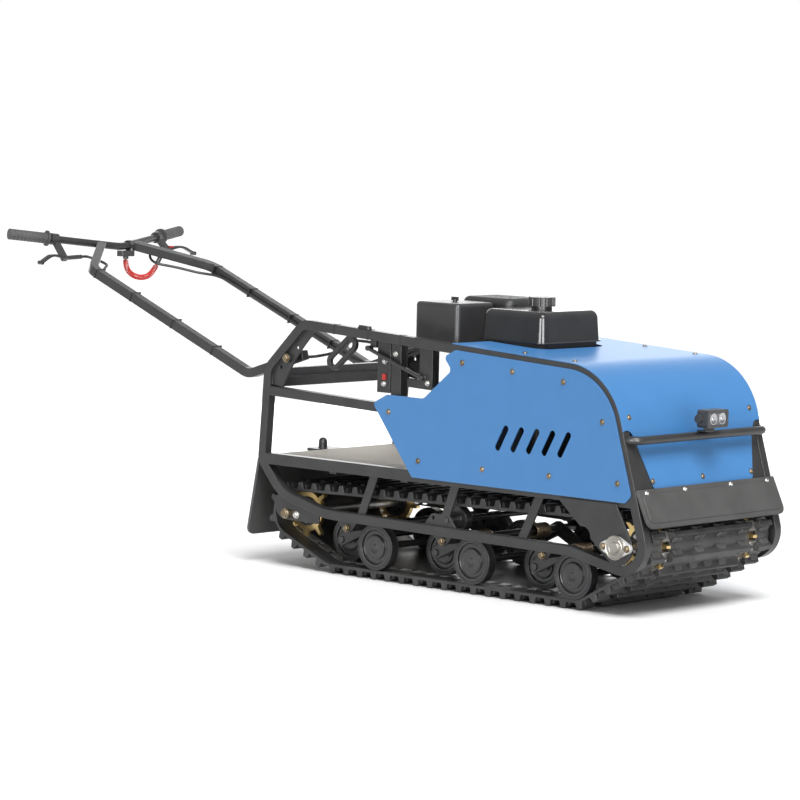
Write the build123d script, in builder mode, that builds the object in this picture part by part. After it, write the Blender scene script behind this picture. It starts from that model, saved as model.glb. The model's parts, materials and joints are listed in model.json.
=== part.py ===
from build123d import *
import os
from math import acos, atan2, cos, degrees, pi, radians, sin, tan

# Tracked snow tug: a rubber track on sprung bogies inside a tube frame, with an engine under
# a sheet hood, a load deck behind it and a folding handle that the driver steers with.
# Millimetres. +X forward, +Y left, +Z up, ground at z = 0. Stations are measured ahead of the
# rear axle, which stands REAR_AXLE_X from the origin.

# Axles
AXLE_DISTANCE = 1172.0
REAR_AXLE_Z = 150.0
FRONT_AXLE_Z = 180.0
AXLE_R = 12.0

# Track
TRACK_WIDTH = 500.0
TRACK_GAP = 8.0
LINK_PITCH = 50.5
BELT = 8.0
LUG_HEIGHT = 17.5
LUG_ROOT = 24.0
LUG_TIP = 12.0
WINDOW_INSET = 70.0
WINDOW_WIDTH = 30.0
WINDOW_LENGTH = 26.0
SPROCKET_TEETH = 8
SPROCKET_THICK = 14.0
TOOTH_HEIGHT = 14.0

# Bogies and wheels
BOGIE_COUNT = 3
REAR_BOGIE = 232.0
FRONT_BOGIE = 255.0
WHEEL_OFFSET = 84.0
WHEEL_R = 62.0
RIM_RUBBER = 9.0
WHEEL_WIDTH = 26.0
PIVOT_Z = 132.0
PIVOT_R = 10.0
WHEEL_AXLE_R = 9.0
ARM_THICK = 8.0

# Frame
TUBE = 25.0
RAIL_Z = 295.0
RAIL_HEIGHT = 30.0
TOP_Z = 683.0
MID_RAIL_Z = 482.0
SHEET = 3.0
HOOD_SHEET = 2.0
PLATE = 5.0
DECK_THICK = 9.0

# Handle
LEG = 25.0
BAR_R = 11.0
PIN_R = 8.0

# Clearances
FIT = 0.3
BORE_FIT = 0.05
CLAMP_FIT = 0.1
LEG_GAP = 5.5

# How far the tug reaches behind its rear axle and ahead of its front one
REAR_REACH = 1089.4
FRONT_REACH = 97.6
REAR_AXLE_X = (REAR_REACH - AXLE_DISTANCE - FRONT_REACH) / 2
GROUND = Plane(origin=(REAR_AXLE_X, 0, 0))
SIDE = Plane(origin=(REAR_AXLE_X, 0, 0), x_dir=(1, 0, 0), z_dir=(0, -1, 0))

TRACK_Y = TRACK_WIDTH / 2
INNER_Y = TRACK_Y + TRACK_GAP
FRAME_Y = INNER_Y + TUBE
FRAME_WIDTH = 2 * FRAME_Y
FLAT_Y = FRAME_Y - TUBE / 2
WINDOW_Y = TRACK_Y - WINDOW_INSET
NEUTRAL_R = LINK_PITCH * SPROCKET_TEETH / (2 * pi)
WRAP_R = NEUTRAL_R - BELT / 2
WHEEL_Z = LUG_HEIGHT + BELT + FIT + WHEEL_R
ENGINE_X = AXLE_DISTANCE - 510.0

os.makedirs("parts", exist_ok=True)


def save(builder, name):
    builder.part.label = name
    export_step(builder.part, f"parts/{name}.step")


def bar_across(station, height, size_x, size_z, half_span):
    with Locations((station, 0, height)):
        Box(size_x, 2 * half_span, size_z)


def rod_across(station, height, radius, y_low, y_high):
    with Locations(Location((station, (y_low + y_high) / 2, height), (90, 0, 0))):
        Cylinder(radius, y_high - y_low)


def strip(start, end, width):
    """A straight band between two points of the side view, in the sketch that is open."""
    dx = end[0] - start[0]
    dz = end[1] - start[1]
    with Locations(Location(((start[0] + end[0]) / 2, (start[1] + end[1]) / 2), degrees(atan2(dz, dx)))):
        Rectangle((dx * dx + dz * dz) ** 0.5, width)


def discs_hull(discs, mode=Mode.ADD):
    """The band round a few discs, each station, height, radius, in the sketch that is open."""
    with BuildSketch(mode=Mode.PRIVATE) as corners:
        for x, z, r in discs:
            with Locations((x, z)):
                Circle(r)
    make_hull(corners.sketch.edges(), mode=mode)


def widest_bends(points):
    """Bend radius at each inner point of a route, as large as the shorter of its two runs allows."""
    radii = []
    for before, corner, after in zip(points, points[1:], points[2:]):
        run_in = Vector(corner) - Vector(before)
        run_out = Vector(after) - Vector(corner)
        half_turn = radians(run_in.get_angle(run_out) / 2)
        radii.append(0.45 * min(run_in.length, run_out.length) / tan(half_turn))
    return radii


def tube_along(points, radii, section_r):
    """A round bar along straight runs with rounded corners, its points as station, y, height."""
    with BuildLine(GROUND) as path:
        FilletPolyline(*points, radius=radii)
    with BuildSketch(Plane(origin=path.line @ 0, z_dir=path.line % 0)) as section:
        Circle(section_r)
    sweep(section.sketch, path=path.line)


# Belt path: the tangent loop round the rear sprocket, first wheel, last wheel and front sprocket
BOGIE_SPACING = (AXLE_DISTANCE - REAR_BOGIE - FRONT_BOGIE) / (BOGIE_COUNT - 1)
BOGIES = [REAR_BOGIE + k * BOGIE_SPACING for k in range(BOGIE_COUNT)]
# station, height, inside radius of the belt there
TURNS = [
    (0.0, REAR_AXLE_Z, WRAP_R),
    (BOGIES[0] - WHEEL_OFFSET, WHEEL_Z, WHEEL_R + FIT),
    (BOGIES[-1] + WHEEL_OFFSET, WHEEL_Z, WHEEL_R + FIT),
    (AXLE_DISTANCE, FRONT_AXLE_Z, WRAP_R),
]


def tangent_heading(turn, following):
    """Heading in radians of the belt's run from one turn to the next, turns on its left."""
    dx = following[0] - turn[0]
    dz = following[1] - turn[1]
    span = (dx * dx + dz * dz) ** 0.5
    return atan2(dz, dx) + acos(max(-1.0, min(1.0, (following[2] - turn[2]) / span))) - pi / 2


HEADINGS = [tangent_heading(turn, TURNS[(i + 1) % 4]) for i, turn in enumerate(TURNS)]


def belt_pieces():
    """Each turn's number, first heading, sweep, arc and straight run along the belt's neutral line."""
    pieces = []
    for i, (x, z, r) in enumerate(TURNS):
        start = HEADINGS[i - 1]
        sweep_angle = (HEADINGS[i] - start) % (2 * pi)
        nx, nz, nr = TURNS[(i + 1) % 4]
        leave = HEADINGS[i] - pi / 2
        dx = nx - x + (nr - r) * cos(leave)
        dz = nz - z + (nr - r) * sin(leave)
        pieces.append((i, start, sweep_angle, (r + BELT / 2) * sweep_angle, (dx * dx + dz * dz) ** 0.5))
    return pieces


PIECES = belt_pieces()
LOOP_LENGTH = sum(arc + run for _, _, _, arc, run in PIECES)
LINKS = round(LOOP_LENGTH / LINK_PITCH)
PITCH = LOOP_LENGTH / LINKS


def belt_spot(distance, lift):
    """Station, height and heading of the belt at a distance along it, lifted off its neutral line."""
    distance = distance % LOOP_LENGTH
    for i, start, _, arc, run in PIECES:
        x, z, r = TURNS[i]
        heading = start + min(distance, arc) / (r + BELT / 2)
        out = heading - pi / 2
        reach = r + BELT / 2 + lift
        if distance <= arc + run:
            ahead = max(0.0, distance - arc)
            spot_x = x + reach * cos(out) + ahead * cos(heading)
            return spot_x, z + reach * sin(out) + ahead * sin(heading), heading
        distance -= arc + run
    return belt_spot(0, lift)


FRONT_ARC_START = LOOP_LENGTH - PIECES[3][3] - PIECES[3][4]
# The lugs stand half way between windows, and a window faces straight ahead at the front
WINDOW_START = FRONT_ARC_START + (pi / 2 - HEADINGS[2]) * NEUTRAL_R


def spots(first, lift):
    """Sketch locations of one feature a link all round the belt."""
    result = []
    for k in range(LINKS):
        x, z, heading = belt_spot(first + k * PITCH, lift)
        result.append(Location((x, z), degrees(heading)))
    return result


def belt_sketch(plane, lug, windowed):
    """Side view of the belt: its ring, with lugs of that height outside it or windows through it."""
    with BuildSketch(plane) as ring:
        discs_hull([(x, z, r + BELT) for x, z, r in TURNS])
        discs_hull(TURNS, Mode.SUBTRACT)
        if lug:
            rooted = lug + BELT / 4
            slope = degrees(atan2(rooted, (LUG_ROOT - LUG_TIP) / 2))
            with Locations(*spots(WINDOW_START + PITCH / 2, BELT / 2 + (lug - BELT / 4) / 2)):
                Trapezoid(LUG_ROOT, rooted, slope, rotation=180)
        if windowed:
            with Locations(*spots(WINDOW_START, 0)):
                Rectangle(WINDOW_LENGTH, BELT * 2, mode=Mode.SUBTRACT)
    return ring


WINDOW_IN = WINDOW_Y - WINDOW_WIDTH / 2
WINDOW_OUT = WINDOW_Y + WINDOW_WIDTH / 2
# strips across the track from its right edge: width, lug height, windows
STRIPS = [
    (TRACK_Y - WINDOW_OUT, LUG_HEIGHT, False),
    (WINDOW_WIDTH, 0, True),
    (2 * WINDOW_IN, LUG_HEIGHT, False),
    (WINDOW_WIDTH, 0, True),
    (TRACK_Y - WINDOW_OUT, LUG_HEIGHT, False),
]
with BuildPart() as track:
    edge = -TRACK_Y
    for width, lug, windowed in STRIPS:
        edge += width
        profile = belt_sketch(SIDE.offset(-edge), lug, windowed)
        extrude(profile.sketch, amount=width)
save(track, "track")

# Sprockets: toothed rings on bolted hubs, which drive the track through its windows
RING_R = WRAP_R - FIT - TOOTH_HEIGHT / 3
TOOTH_TIP_R = NEUTRAL_R + TOOTH_HEIGHT
TOOTH_ROOT = 18.0
TOOTH_SLOPE = 82.0
HUB_R = 40.0
HUB_THICK = 22.0
HUB_BOLTS = 8
HUB_BOLT_R = 4.0
REAR_WINDOW = round((PIECES[0][3] / 2 - WINDOW_START) / PITCH) * PITCH + WINDOW_START
_, _, REAR_HEADING = belt_spot(REAR_WINDOW, 0)
# station, height, direction of one tooth in the side view
SPROCKETS = [(0.0, REAR_AXLE_Z, degrees(REAR_HEADING) - 90), (AXLE_DISTANCE, FRONT_AXLE_Z, 0.0)]
TOOTH_LENGTH = TOOTH_TIP_R - HUB_R
with BuildPart() as sprockets:
    for station, height, tooth_angle in SPROCKETS:
        for side in (-1, 1):
            with BuildSketch(SIDE.offset(-side * WINDOW_Y - SPROCKET_THICK / 2)) as ring:
                with Locations((station, height)):
                    Circle(RING_R)
                    with PolarLocations(HUB_R + TOOTH_LENGTH / 2, SPROCKET_TEETH, tooth_angle):
                        Trapezoid(TOOTH_ROOT, TOOTH_LENGTH, TOOTH_SLOPE, rotation=-90)
                    Circle(HUB_R + BORE_FIT, mode=Mode.SUBTRACT)
            extrude(ring.sketch, amount=SPROCKET_THICK)
save(sprockets, "sprockets")
with BuildPart() as sprocket_hubs:
    for station, height, tooth_angle in SPROCKETS:
        for side in (-1, 1):
            with BuildSketch(SIDE.offset(-side * WINDOW_Y - HUB_THICK / 2)) as hub:
                with Locations((station, height)):
                    Circle(HUB_R)
                    Circle(AXLE_R + BORE_FIT, mode=Mode.SUBTRACT)
                    with PolarLocations((HUB_R + AXLE_R) / 2, HUB_BOLTS, tooth_angle):
                        Circle(HUB_BOLT_R, mode=Mode.SUBTRACT)
            extrude(hub.sketch, amount=HUB_THICK)
save(sprocket_hubs, "sprocket_hubs")

# Axles, which run from plate to plate: station, height, end beyond the frame's middle plane
AXLE_STUB = 5.0
FLANGE_THICK = 10.0
AXLES = [
    (0.0, REAR_AXLE_Z, FLAT_Y + PLATE / 2 + AXLE_STUB),
    (AXLE_DISTANCE, FRONT_AXLE_Z, FRAME_Y + PLATE + FLANGE_THICK + AXLE_STUB),
]
with BuildPart(GROUND) as axles:
    for station, height, end in AXLES:
        rod_across(station, height, AXLE_R, -end, end)
save(axles, "axles")

# Side frames: outer edge of the tube loop as station, height, bend radius
LOWER_EDGE_Z = 151.0
LOOP = [
    (-99.7, RAIL_Z - 8, 40.0),
    (-82.0, TOP_Z - 135, 60.0),
    (55.0, TOP_Z, 60.0),
    (AXLE_DISTANCE - 44, TOP_Z - 62, 186.0),
    (AXLE_DISTANCE + 119, LOWER_EDGE_Z - 66, 78.0),
    (AXLE_DISTANCE - 161, LOWER_EDGE_Z - 10, 80.0),
    (150.0, LOWER_EDGE_Z, 300.0),
    (-18.0, LOWER_EDGE_Z + 42, 150.0),
]
TOP_CORNER = LOOP[2]
NOSE = LOOP[3]
CHIN = LOOP[4]
MID_RAIL_DROP = 21.0
MID_RAIL_END = ENGINE_X - 170.0
LOWER_RAIL_Z = LOWER_EDGE_Z + TUBE / 2 - 5


def loop_height(station):
    """Outer edge of the top rail at a station."""
    return TOP_CORNER[1] + (NOSE[1] - TOP_CORNER[1]) * (station - TOP_CORNER[0]) / (NOSE[0] - TOP_CORNER[0])


def rail_under(station):
    """Underside of the top rail at a station."""
    return loop_height(station) - TUBE * 1.002


FRONT_SLOPE = (CHIN[0] - NOSE[0]) / (NOSE[1] - CHIN[1])


def front_x(height):
    """Outer edge of the front post at a height."""
    return NOSE[0] + (NOSE[1] - height) * FRONT_SLOPE


# struts between the lower rail and the platform rail: station of the lower and the upper end
STRUTS = [(276.0, 331.0), (567.0, 619.0), (842.0, 908.0)]
STRUT_WIDTH = 26.0
TAB_R = 15.0
TAB_ROOT = 34.0
CARRIER_X = 587.0
CARRIER_Z = 188.0
CARRIER_AXLE_R = 8.0
CARRIER_TAB = (540.0, 191.0, 12.0)
PIVOT_HEIGHT = TOP_Z - 109.0
GUSSET_Y = FRAME_Y - 10.0
GUSSET_HOLE_R = 5.0
# holes and corners of the handle's gusset, from the pivot: station, height
GUSSET_HOLES = [(33.0, 30.0), (-28.0, -26.0)]
GUSSET_CORNERS = [(-20.0, -82.0), (-66.0, -76.0), (-66.0, -34.0), (60.0, 91.0), (110.0, 88.0)]
GUSSET_HOLLOW = (18.0, -14.0)
AXLE_PLATE_R = 40.0
AXLE_SLOT = 24.0


def from_pivot(point):
    return (point[0], PIVOT_HEIGHT + point[1])


with BuildPart() as side_frame_right:
    with BuildSketch(SIDE.offset(INNER_Y)) as tubes:
        with BuildLine():
            FilletPolyline(*[(x, z) for x, z, _ in LOOP], radius=[r for _, _, r in LOOP], close=True)
        make_face()
        offset(amount=-TUBE, kind=Kind.INTERSECTION, mode=Mode.SUBTRACT)
        strip((LOOP[1][0], MID_RAIL_Z), (MID_RAIL_END, MID_RAIL_Z - MID_RAIL_DROP), TUBE)
        strip((LOOP[0][0] + TUBE / 2, RAIL_Z), (front_x(RAIL_Z) - TUBE / 2, RAIL_Z), RAIL_HEIGHT)
    extrude(amount=TUBE)
    with BuildSketch(SIDE.offset(FLAT_Y - PLATE / 2)) as flats:
        for low, high in STRUTS:
            strip((low, LOWER_RAIL_Z), (high, RAIL_Z), STRUT_WIDTH)
        for station in BOGIES:
            discs_hull(
                [
                    (station, PIVOT_Z, TAB_R),
                    (station - TAB_ROOT, LOWER_RAIL_Z, TUBE / 4),
                    (station + TAB_ROOT, LOWER_RAIL_Z, TUBE / 4),
                ]
            )
        discs_hull(
            [
                (CARRIER_X, CARRIER_Z, TAB_R),
                CARRIER_TAB,
                (CARRIER_TAB[0] - TAB_ROOT, LOWER_RAIL_Z, TUBE / 4),
                (CARRIER_X + TAB_ROOT, LOWER_RAIL_Z, TUBE / 4),
            ]
        )
        discs_hull(
            [
                (0.0, REAR_AXLE_Z + AXLE_SLOT, AXLE_PLATE_R),
                (AXLE_PLATE_R * 3, REAR_AXLE_Z - AXLE_R, TUBE / 4),
                (AXLE_PLATE_R * 3, LOWER_RAIL_Z, TUBE / 4),
            ]
        )
        with Locations((AXLE_SLOT / 2, REAR_AXLE_Z)):
            SlotCenterToCenter(AXLE_SLOT, 2 * (AXLE_R + BORE_FIT), mode=Mode.SUBTRACT)
        with Locations(CARRIER_TAB[:2]):
            Circle(GUSSET_HOLE_R, mode=Mode.SUBTRACT)
        with Locations((CARRIER_X, CARRIER_Z)):
            Circle(CARRIER_AXLE_R + BORE_FIT, mode=Mode.SUBTRACT)
        with Locations(*[(station, PIVOT_Z) for station in BOGIES]):
            Circle(PIVOT_R + BORE_FIT, mode=Mode.SUBTRACT)
    extrude(amount=PLATE)
    with BuildSketch(SIDE.offset(GUSSET_Y - PLATE)) as gusset:
        with BuildLine():
            Polyline(*[from_pivot(point) for point in GUSSET_CORNERS])
            arc_start, arc_end = GUSSET_CORNERS[-1], GUSSET_CORNERS[0]
            ThreePointArc(from_pivot(arc_start), from_pivot(GUSSET_HOLLOW), from_pivot(arc_end))
        make_face()
        with Locations(*[from_pivot(point) for point in GUSSET_HOLES]):
            Circle(GUSSET_HOLE_R, mode=Mode.SUBTRACT)
        with Locations((0, PIVOT_HEIGHT)):
            Circle(PIN_R + BORE_FIT, mode=Mode.SUBTRACT)
    extrude(amount=PLATE)
save(side_frame_right, "side_frame_right")
with BuildPart() as side_frame_left:
    mirror(side_frame_right.part, about=Plane.XZ)
save(side_frame_left, "side_frame_left")

# Cross members: station, height, size along x, size along z
DECK_SINK = 5.0
DECK_TOP = RAIL_Z + RAIL_HEIGHT / 2 - DECK_SINK
DECK_BASE = DECK_TOP - DECK_THICK
BAR_Z = DECK_BASE - TUBE / 2
REAR_BAR_X = LOOP[0][0] + TUBE / 2
REST_BAR = from_pivot((-55.0, -69.0))
NOSE_BAR_X = NOSE[0] - 128.0
CHIN_BAR_Z = RAIL_Z + 16.0
CROSS_BARS = [
    (REAR_BAR_X, BAR_Z, TUBE, TUBE),
    (160.0, BAR_Z, TUBE, TUBE),
    (ENGINE_X - 242, BAR_Z, TUBE, TUBE),
    (REST_BAR[0], REST_BAR[1], TUBE, TUBE),
    (ENGINE_X - 102, RAIL_Z, TUBE, RAIL_HEIGHT),
    (ENGINE_X + 118, RAIL_Z, TUBE, RAIL_HEIGHT),
    (NOSE_BAR_X, rail_under(NOSE_BAR_X) + TUBE / 2 - 2, TUBE, TUBE),
    (front_x(CHIN_BAR_Z) - TUBE / 2 - 7, CHIN_BAR_Z, TUBE, TUBE),
]
with BuildPart(GROUND) as cross_members:
    for station, height, size_x, size_z in CROSS_BARS:
        bar_across(station, height, size_x, size_z, INNER_Y)
save(cross_members, "cross_members")

# Load deck
DECK_START = REAR_BAR_X + TUBE / 2
DECK_END = ENGINE_X - 122.0
DECK_EDGE_GAP = 1.0
with BuildPart(GROUND) as deck:
    with Locations(((DECK_START + DECK_END) / 2, 0, DECK_BASE + DECK_THICK / 2)):
        Box(DECK_END - DECK_START, 2 * (INNER_Y - DECK_EDGE_GAP), DECK_THICK)
save(deck, "deck")

# Side panels: their top and front follow the tube loop inside its edge, and a notch clears the controls
PANEL_INSET = 14.0
PANEL_FLOOR = RAIL_Z - SHEET
PANEL_CHIN_Z = RAIL_Z + 15.0


def panel_top(station):
    return loop_height(station) - PANEL_INSET


def panel_front(height):
    return front_x(height) - PANEL_INSET * (1 + FRONT_SLOPE * FRONT_SLOPE) ** 0.5


TOP_SLOPE = (NOSE[1] - TOP_CORNER[1]) / (NOSE[0] - TOP_CORNER[0])
PANEL_NOSE_X = panel_front(panel_top(0)) / (1 + FRONT_SLOPE * TOP_SLOPE)
# station, height, corner radius
PANEL = [
    (ENGINE_X - 47, panel_top(ENGINE_X - 47), 6.0),
    (PANEL_NOSE_X, panel_top(PANEL_NOSE_X), NOSE[2] - PANEL_INSET),
    (panel_front(PANEL_CHIN_Z), PANEL_CHIN_Z, 12.0),
    (panel_front(PANEL_CHIN_Z) - 18, PANEL_FLOOR, 12.0),
    (ENGINE_X - 190, PANEL_FLOOR, 8.0),
    (ENGINE_X - 335, MID_RAIL_Z - 5, 10.0),
    (ENGINE_X - 285, MID_RAIL_Z + 21, 10.0),
    (ENGINE_X - 155, MID_RAIL_Z + 20, 24.0),
    (ENGINE_X - 59, TOP_Z - 100, 12.0),
    (ENGINE_X - 87, TOP_Z - 66, 10.0),
]
VENT_X = ENGINE_X + 222.0
VENT_Z = RAIL_Z + 126.0
VENT_SLOTS = 5
VENT_STEP = 52.0
VENT_LENGTH = 74.0
VENT_WIDTH = 18.0
VENT_LEAN = 62.0
with BuildPart() as side_panel_right:
    with BuildSketch(SIDE.offset(FRAME_Y)) as outline:
        with BuildLine():
            FilletPolyline(*[(x, z) for x, z, _ in PANEL], radius=[r for _, _, r in PANEL], close=True)
        make_face()
        with Locations((VENT_X, VENT_Z)):
            with GridLocations(VENT_STEP, 0, VENT_SLOTS, 1):
                SlotOverall(VENT_LENGTH, VENT_WIDTH, rotation=VENT_LEAN, mode=Mode.SUBTRACT)
    extrude(amount=SHEET)
save(side_panel_right, "side_panel_right")
with BuildPart() as side_panel_left:
    mirror(side_panel_right.part, about=Plane.XZ)
save(side_panel_left, "side_panel_left")

# Hood: one sheet over the top rails and round the nose, open round the tank, notched at the bumper
BUMPER_Z = 448.0
BUMPER_R = 11.0
TANK_LENGTH = 223.0
TANK_WIDTH = 250.0
TANK_GAP = 10.0
HOOD_START = ENGINE_X - 62.0
HOOD_END_Z = BUMPER_Z + 2.0
NOTCH_R = 24.0
with BuildPart() as hood:
    with BuildSketch(SIDE.offset(-FRAME_Y)) as sheet:
        with BuildLine():
            FilletPolyline(
                (HOOD_START, loop_height(HOOD_START)),
                NOSE[:2],
                (front_x(HOOD_END_Z), HOOD_END_Z),
                radius=NOSE[2],
            )
            offset(amount=HOOD_SHEET, side=Side.LEFT)
        make_face()
    extrude(amount=FRAME_WIDTH)
    with BuildSketch(GROUND.offset(TOP_Z)):
        with Locations((ENGINE_X - TANK_LENGTH / 2, 0)):
            Rectangle(2 * TANK_LENGTH + 2 * TANK_GAP, TANK_WIDTH + 2 * TANK_GAP)
        fillet(vertices(), 4 * TANK_GAP)
    extrude(amount=-TUBE * 4, mode=Mode.SUBTRACT)
    with BuildSketch(Plane(origin=(REAR_AXLE_X + NOSE[0], 0, 0), x_dir=(0, 1, 0), z_dir=(1, 0, 0))):
        with Locations((FLAT_Y, BUMPER_Z), (-FLAT_Y, BUMPER_Z)):
            Circle(NOTCH_R)
    extrude(amount=4 * TUBE, mode=Mode.SUBTRACT)
save(hood, "hood")

# Front sheet: a dark backing plate between the posts, and the blue plate on it
FLAP_TOP_Z = 326.0
FRONT_TOP_Z = BUMPER_Z + NOTCH_R / 2
FRONT_LEAN = atan2(1, FRONT_SLOPE)
PLATE_TOP_Y = INNER_Y - 13.0
PLATE_LOW_Y = INNER_Y - 53.0
PLATE_CORNER = 8.0


def front_plane(height, proud):
    """Plane that lies on the front posts' slope, its y up the slope, proud of the tubes' edge."""
    origin = (REAR_AXLE_X + front_x(height), 0, height)
    return Plane(origin=origin, x_dir=(0, 1, 0), z_dir=(sin(FRONT_LEAN), 0, cos(FRONT_LEAN))).offset(proud)


SLOPE_LENGTH = (FRONT_TOP_Z - FLAP_TOP_Z) / sin(FRONT_LEAN)
with BuildPart() as front_backing:
    with BuildSketch(front_plane(FLAP_TOP_Z, -SHEET - HOOD_SHEET)):
        with Locations((0, SLOPE_LENGTH / 2)):
            Rectangle(2 * INNER_Y, SLOPE_LENGTH)
    extrude(amount=SHEET)
save(front_backing, "front_backing")
with BuildPart() as front_plate:
    with BuildSketch(front_plane(FLAP_TOP_Z, -HOOD_SHEET)):
        with BuildLine():
            Polyline(
                (-PLATE_LOW_Y, 0),
                (PLATE_LOW_Y, 0),
                (PLATE_TOP_Y, SLOPE_LENGTH),
                (-PLATE_TOP_Y, SLOPE_LENGTH),
                close=True,
            )
        make_face()
        fillet(vertices(), PLATE_CORNER)
    extrude(amount=HOOD_SHEET)
save(front_plate, "front_plate")

# Rubber flaps: the front one is pressed with a raised field, the rear one hangs from the rear bar
FLAP_THICK = 8.0
FLAP_FIELD = 2.0
FLAP_BORDER = 13.0
FLAP_CORNER = 22.0
FLAP_FOOT = (AXLE_DISTANCE + 94.0, 234.0)
FLAP_HEAD = (front_x(FLAP_TOP_Z) + FLAP_THICK / 2 + FIT, FLAP_TOP_Z)
FLAP_RUN = (FLAP_FOOT[0] - FLAP_HEAD[0], FLAP_HEAD[1] - FLAP_FOOT[1])
FLAP_LENGTH = (FLAP_RUN[0] ** 2 + FLAP_RUN[1] ** 2) ** 0.5
FLAP_PLANE = Plane(
    origin=(REAR_AXLE_X + FLAP_FOOT[0], 0, FLAP_FOOT[1]), x_dir=(0, 1, 0), z_dir=(FLAP_RUN[1], 0, FLAP_RUN[0])
)
with BuildPart() as front_flap:
    with BuildSketch(FLAP_PLANE.offset(-FLAP_THICK / 2)) as outline:
        with Locations((0, FLAP_LENGTH / 2)):
            Rectangle(FRAME_WIDTH, FLAP_LENGTH)
        fillet(outline.vertices().group_by(Axis.Y)[0], FLAP_CORNER)
    extrude(amount=FLAP_THICK)
    with BuildSketch(FLAP_PLANE.offset(FLAP_THICK / 2)):
        with Locations((0, FLAP_LENGTH / 2)):
            RectangleRounded(FRAME_WIDTH - 2 * FLAP_BORDER, FLAP_LENGTH - 2 * FLAP_BORDER, FLAP_BORDER)
    extrude(amount=FLAP_FIELD)
save(front_flap, "front_flap")
REAR_FLAP_HEAD = (REAR_BAR_X - TUBE / 2 - FLAP_THICK / 2 - FIT, RAIL_Z - SHEET)
REAR_FLAP_FOOT = (-144.0, 78.0)
REAR_FLAP_Y = FRAME_Y - 8.0
with BuildPart() as rear_flap:
    with BuildSketch(SIDE.offset(-REAR_FLAP_Y)):
        strip(REAR_FLAP_HEAD, REAR_FLAP_FOOT, FLAP_THICK)
    extrude(amount=2 * REAR_FLAP_Y)
    short_edges = rear_flap.edges().filter_by(lambda e: e.length < FLAP_THICK * 1.01)
    fillet(short_edges.group_by(Axis.Z)[0], FLAP_CORNER)
save(rear_flap, "rear_flap")

# Bumper bar between the front posts, and the headlight on it
BUMPER_X = AXLE_DISTANCE + 36.0
BUMPER_BEND = 30.0
BUMPER_ROOT = front_x(BUMPER_Z) - TUBE / 4
with BuildPart() as bumper:
    tube_along(
        [
            (BUMPER_ROOT, -FLAT_Y, BUMPER_Z),
            (BUMPER_X, -FLAT_Y, BUMPER_Z),
            (BUMPER_X, FLAT_Y, BUMPER_Z),
            (BUMPER_ROOT, FLAT_Y, BUMPER_Z),
        ],
        BUMPER_BEND,
        BUMPER_R,
    )
    add(side_frame_right.part, mode=Mode.SUBTRACT)
    add(side_frame_left.part, mode=Mode.SUBTRACT)
save(bumper, "bumper")
LAMP_X = BUMPER_X + 28.0
LAMP_Z = BUMPER_Z + 46.0
LAMP_DEPTH = 38.0
LAMP_WIDTH = 86.0
LAMP_HEIGHT = 46.0
LAMP_BEZEL = 7.0
LAMP_LENS = 2.0
LAMP_KNOB_R = 11.0
LAMP_KNOB = 7.0
STRAP = 4.0
STRAP_WIDTH = 40.0
LAMP_FOOT = BUMPER_Z + BUMPER_R + FIT
LAMP_FACE = Plane(
    origin=(REAR_AXLE_X + LAMP_X + LAMP_DEPTH / 2, 0, LAMP_Z), x_dir=(0, 1, 0), z_dir=(1, 0, 0)
)
with BuildPart(GROUND) as headlight:
    with Locations((LAMP_X, 0, LAMP_Z)):
        Box(LAMP_DEPTH, LAMP_WIDTH, LAMP_HEIGHT)
    fillet(headlight.edges().filter_by(Axis.X), LAMP_BEZEL)
    chamfer(headlight.faces().sort_by(Axis.X)[0].edges(), LAMP_BEZEL * 0.6)
    with BuildSketch(LAMP_FACE):
        RectangleRounded(LAMP_WIDTH - 2 * LAMP_BEZEL, LAMP_HEIGHT - 2 * LAMP_BEZEL, LAMP_BEZEL / 2)
    extrude(amount=-2 * LAMP_LENS, mode=Mode.SUBTRACT)
    with Locations((BUMPER_X + STRAP_WIDTH / 4, 0, LAMP_FOOT + STRAP / 2)):
        Box(STRAP_WIDTH * 0.7, STRAP_WIDTH, STRAP)
    with Locations((LAMP_X - LAMP_DEPTH / 4, 0, (LAMP_FOOT + LAMP_Z) / 2)):
        Box(STRAP, STRAP_WIDTH, LAMP_Z - LAMP_FOOT)
    knob_end = LAMP_WIDTH / 2 + LAMP_KNOB
    rod_across(LAMP_X - LAMP_DEPTH / 5, LAMP_Z, LAMP_KNOB_R, -knob_end, knob_end)
save(headlight, "headlight")
with BuildPart() as headlight_lens:
    with BuildSketch(LAMP_FACE.offset(-2 * LAMP_LENS)):
        RectangleRounded(
            LAMP_WIDTH - 2 * LAMP_BEZEL - FIT, LAMP_HEIGHT - 2 * LAMP_BEZEL - FIT, LAMP_BEZEL / 2 - FIT / 2
        )
    extrude(amount=LAMP_LENS)
save(headlight_lens, "headlight_lens")

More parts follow.
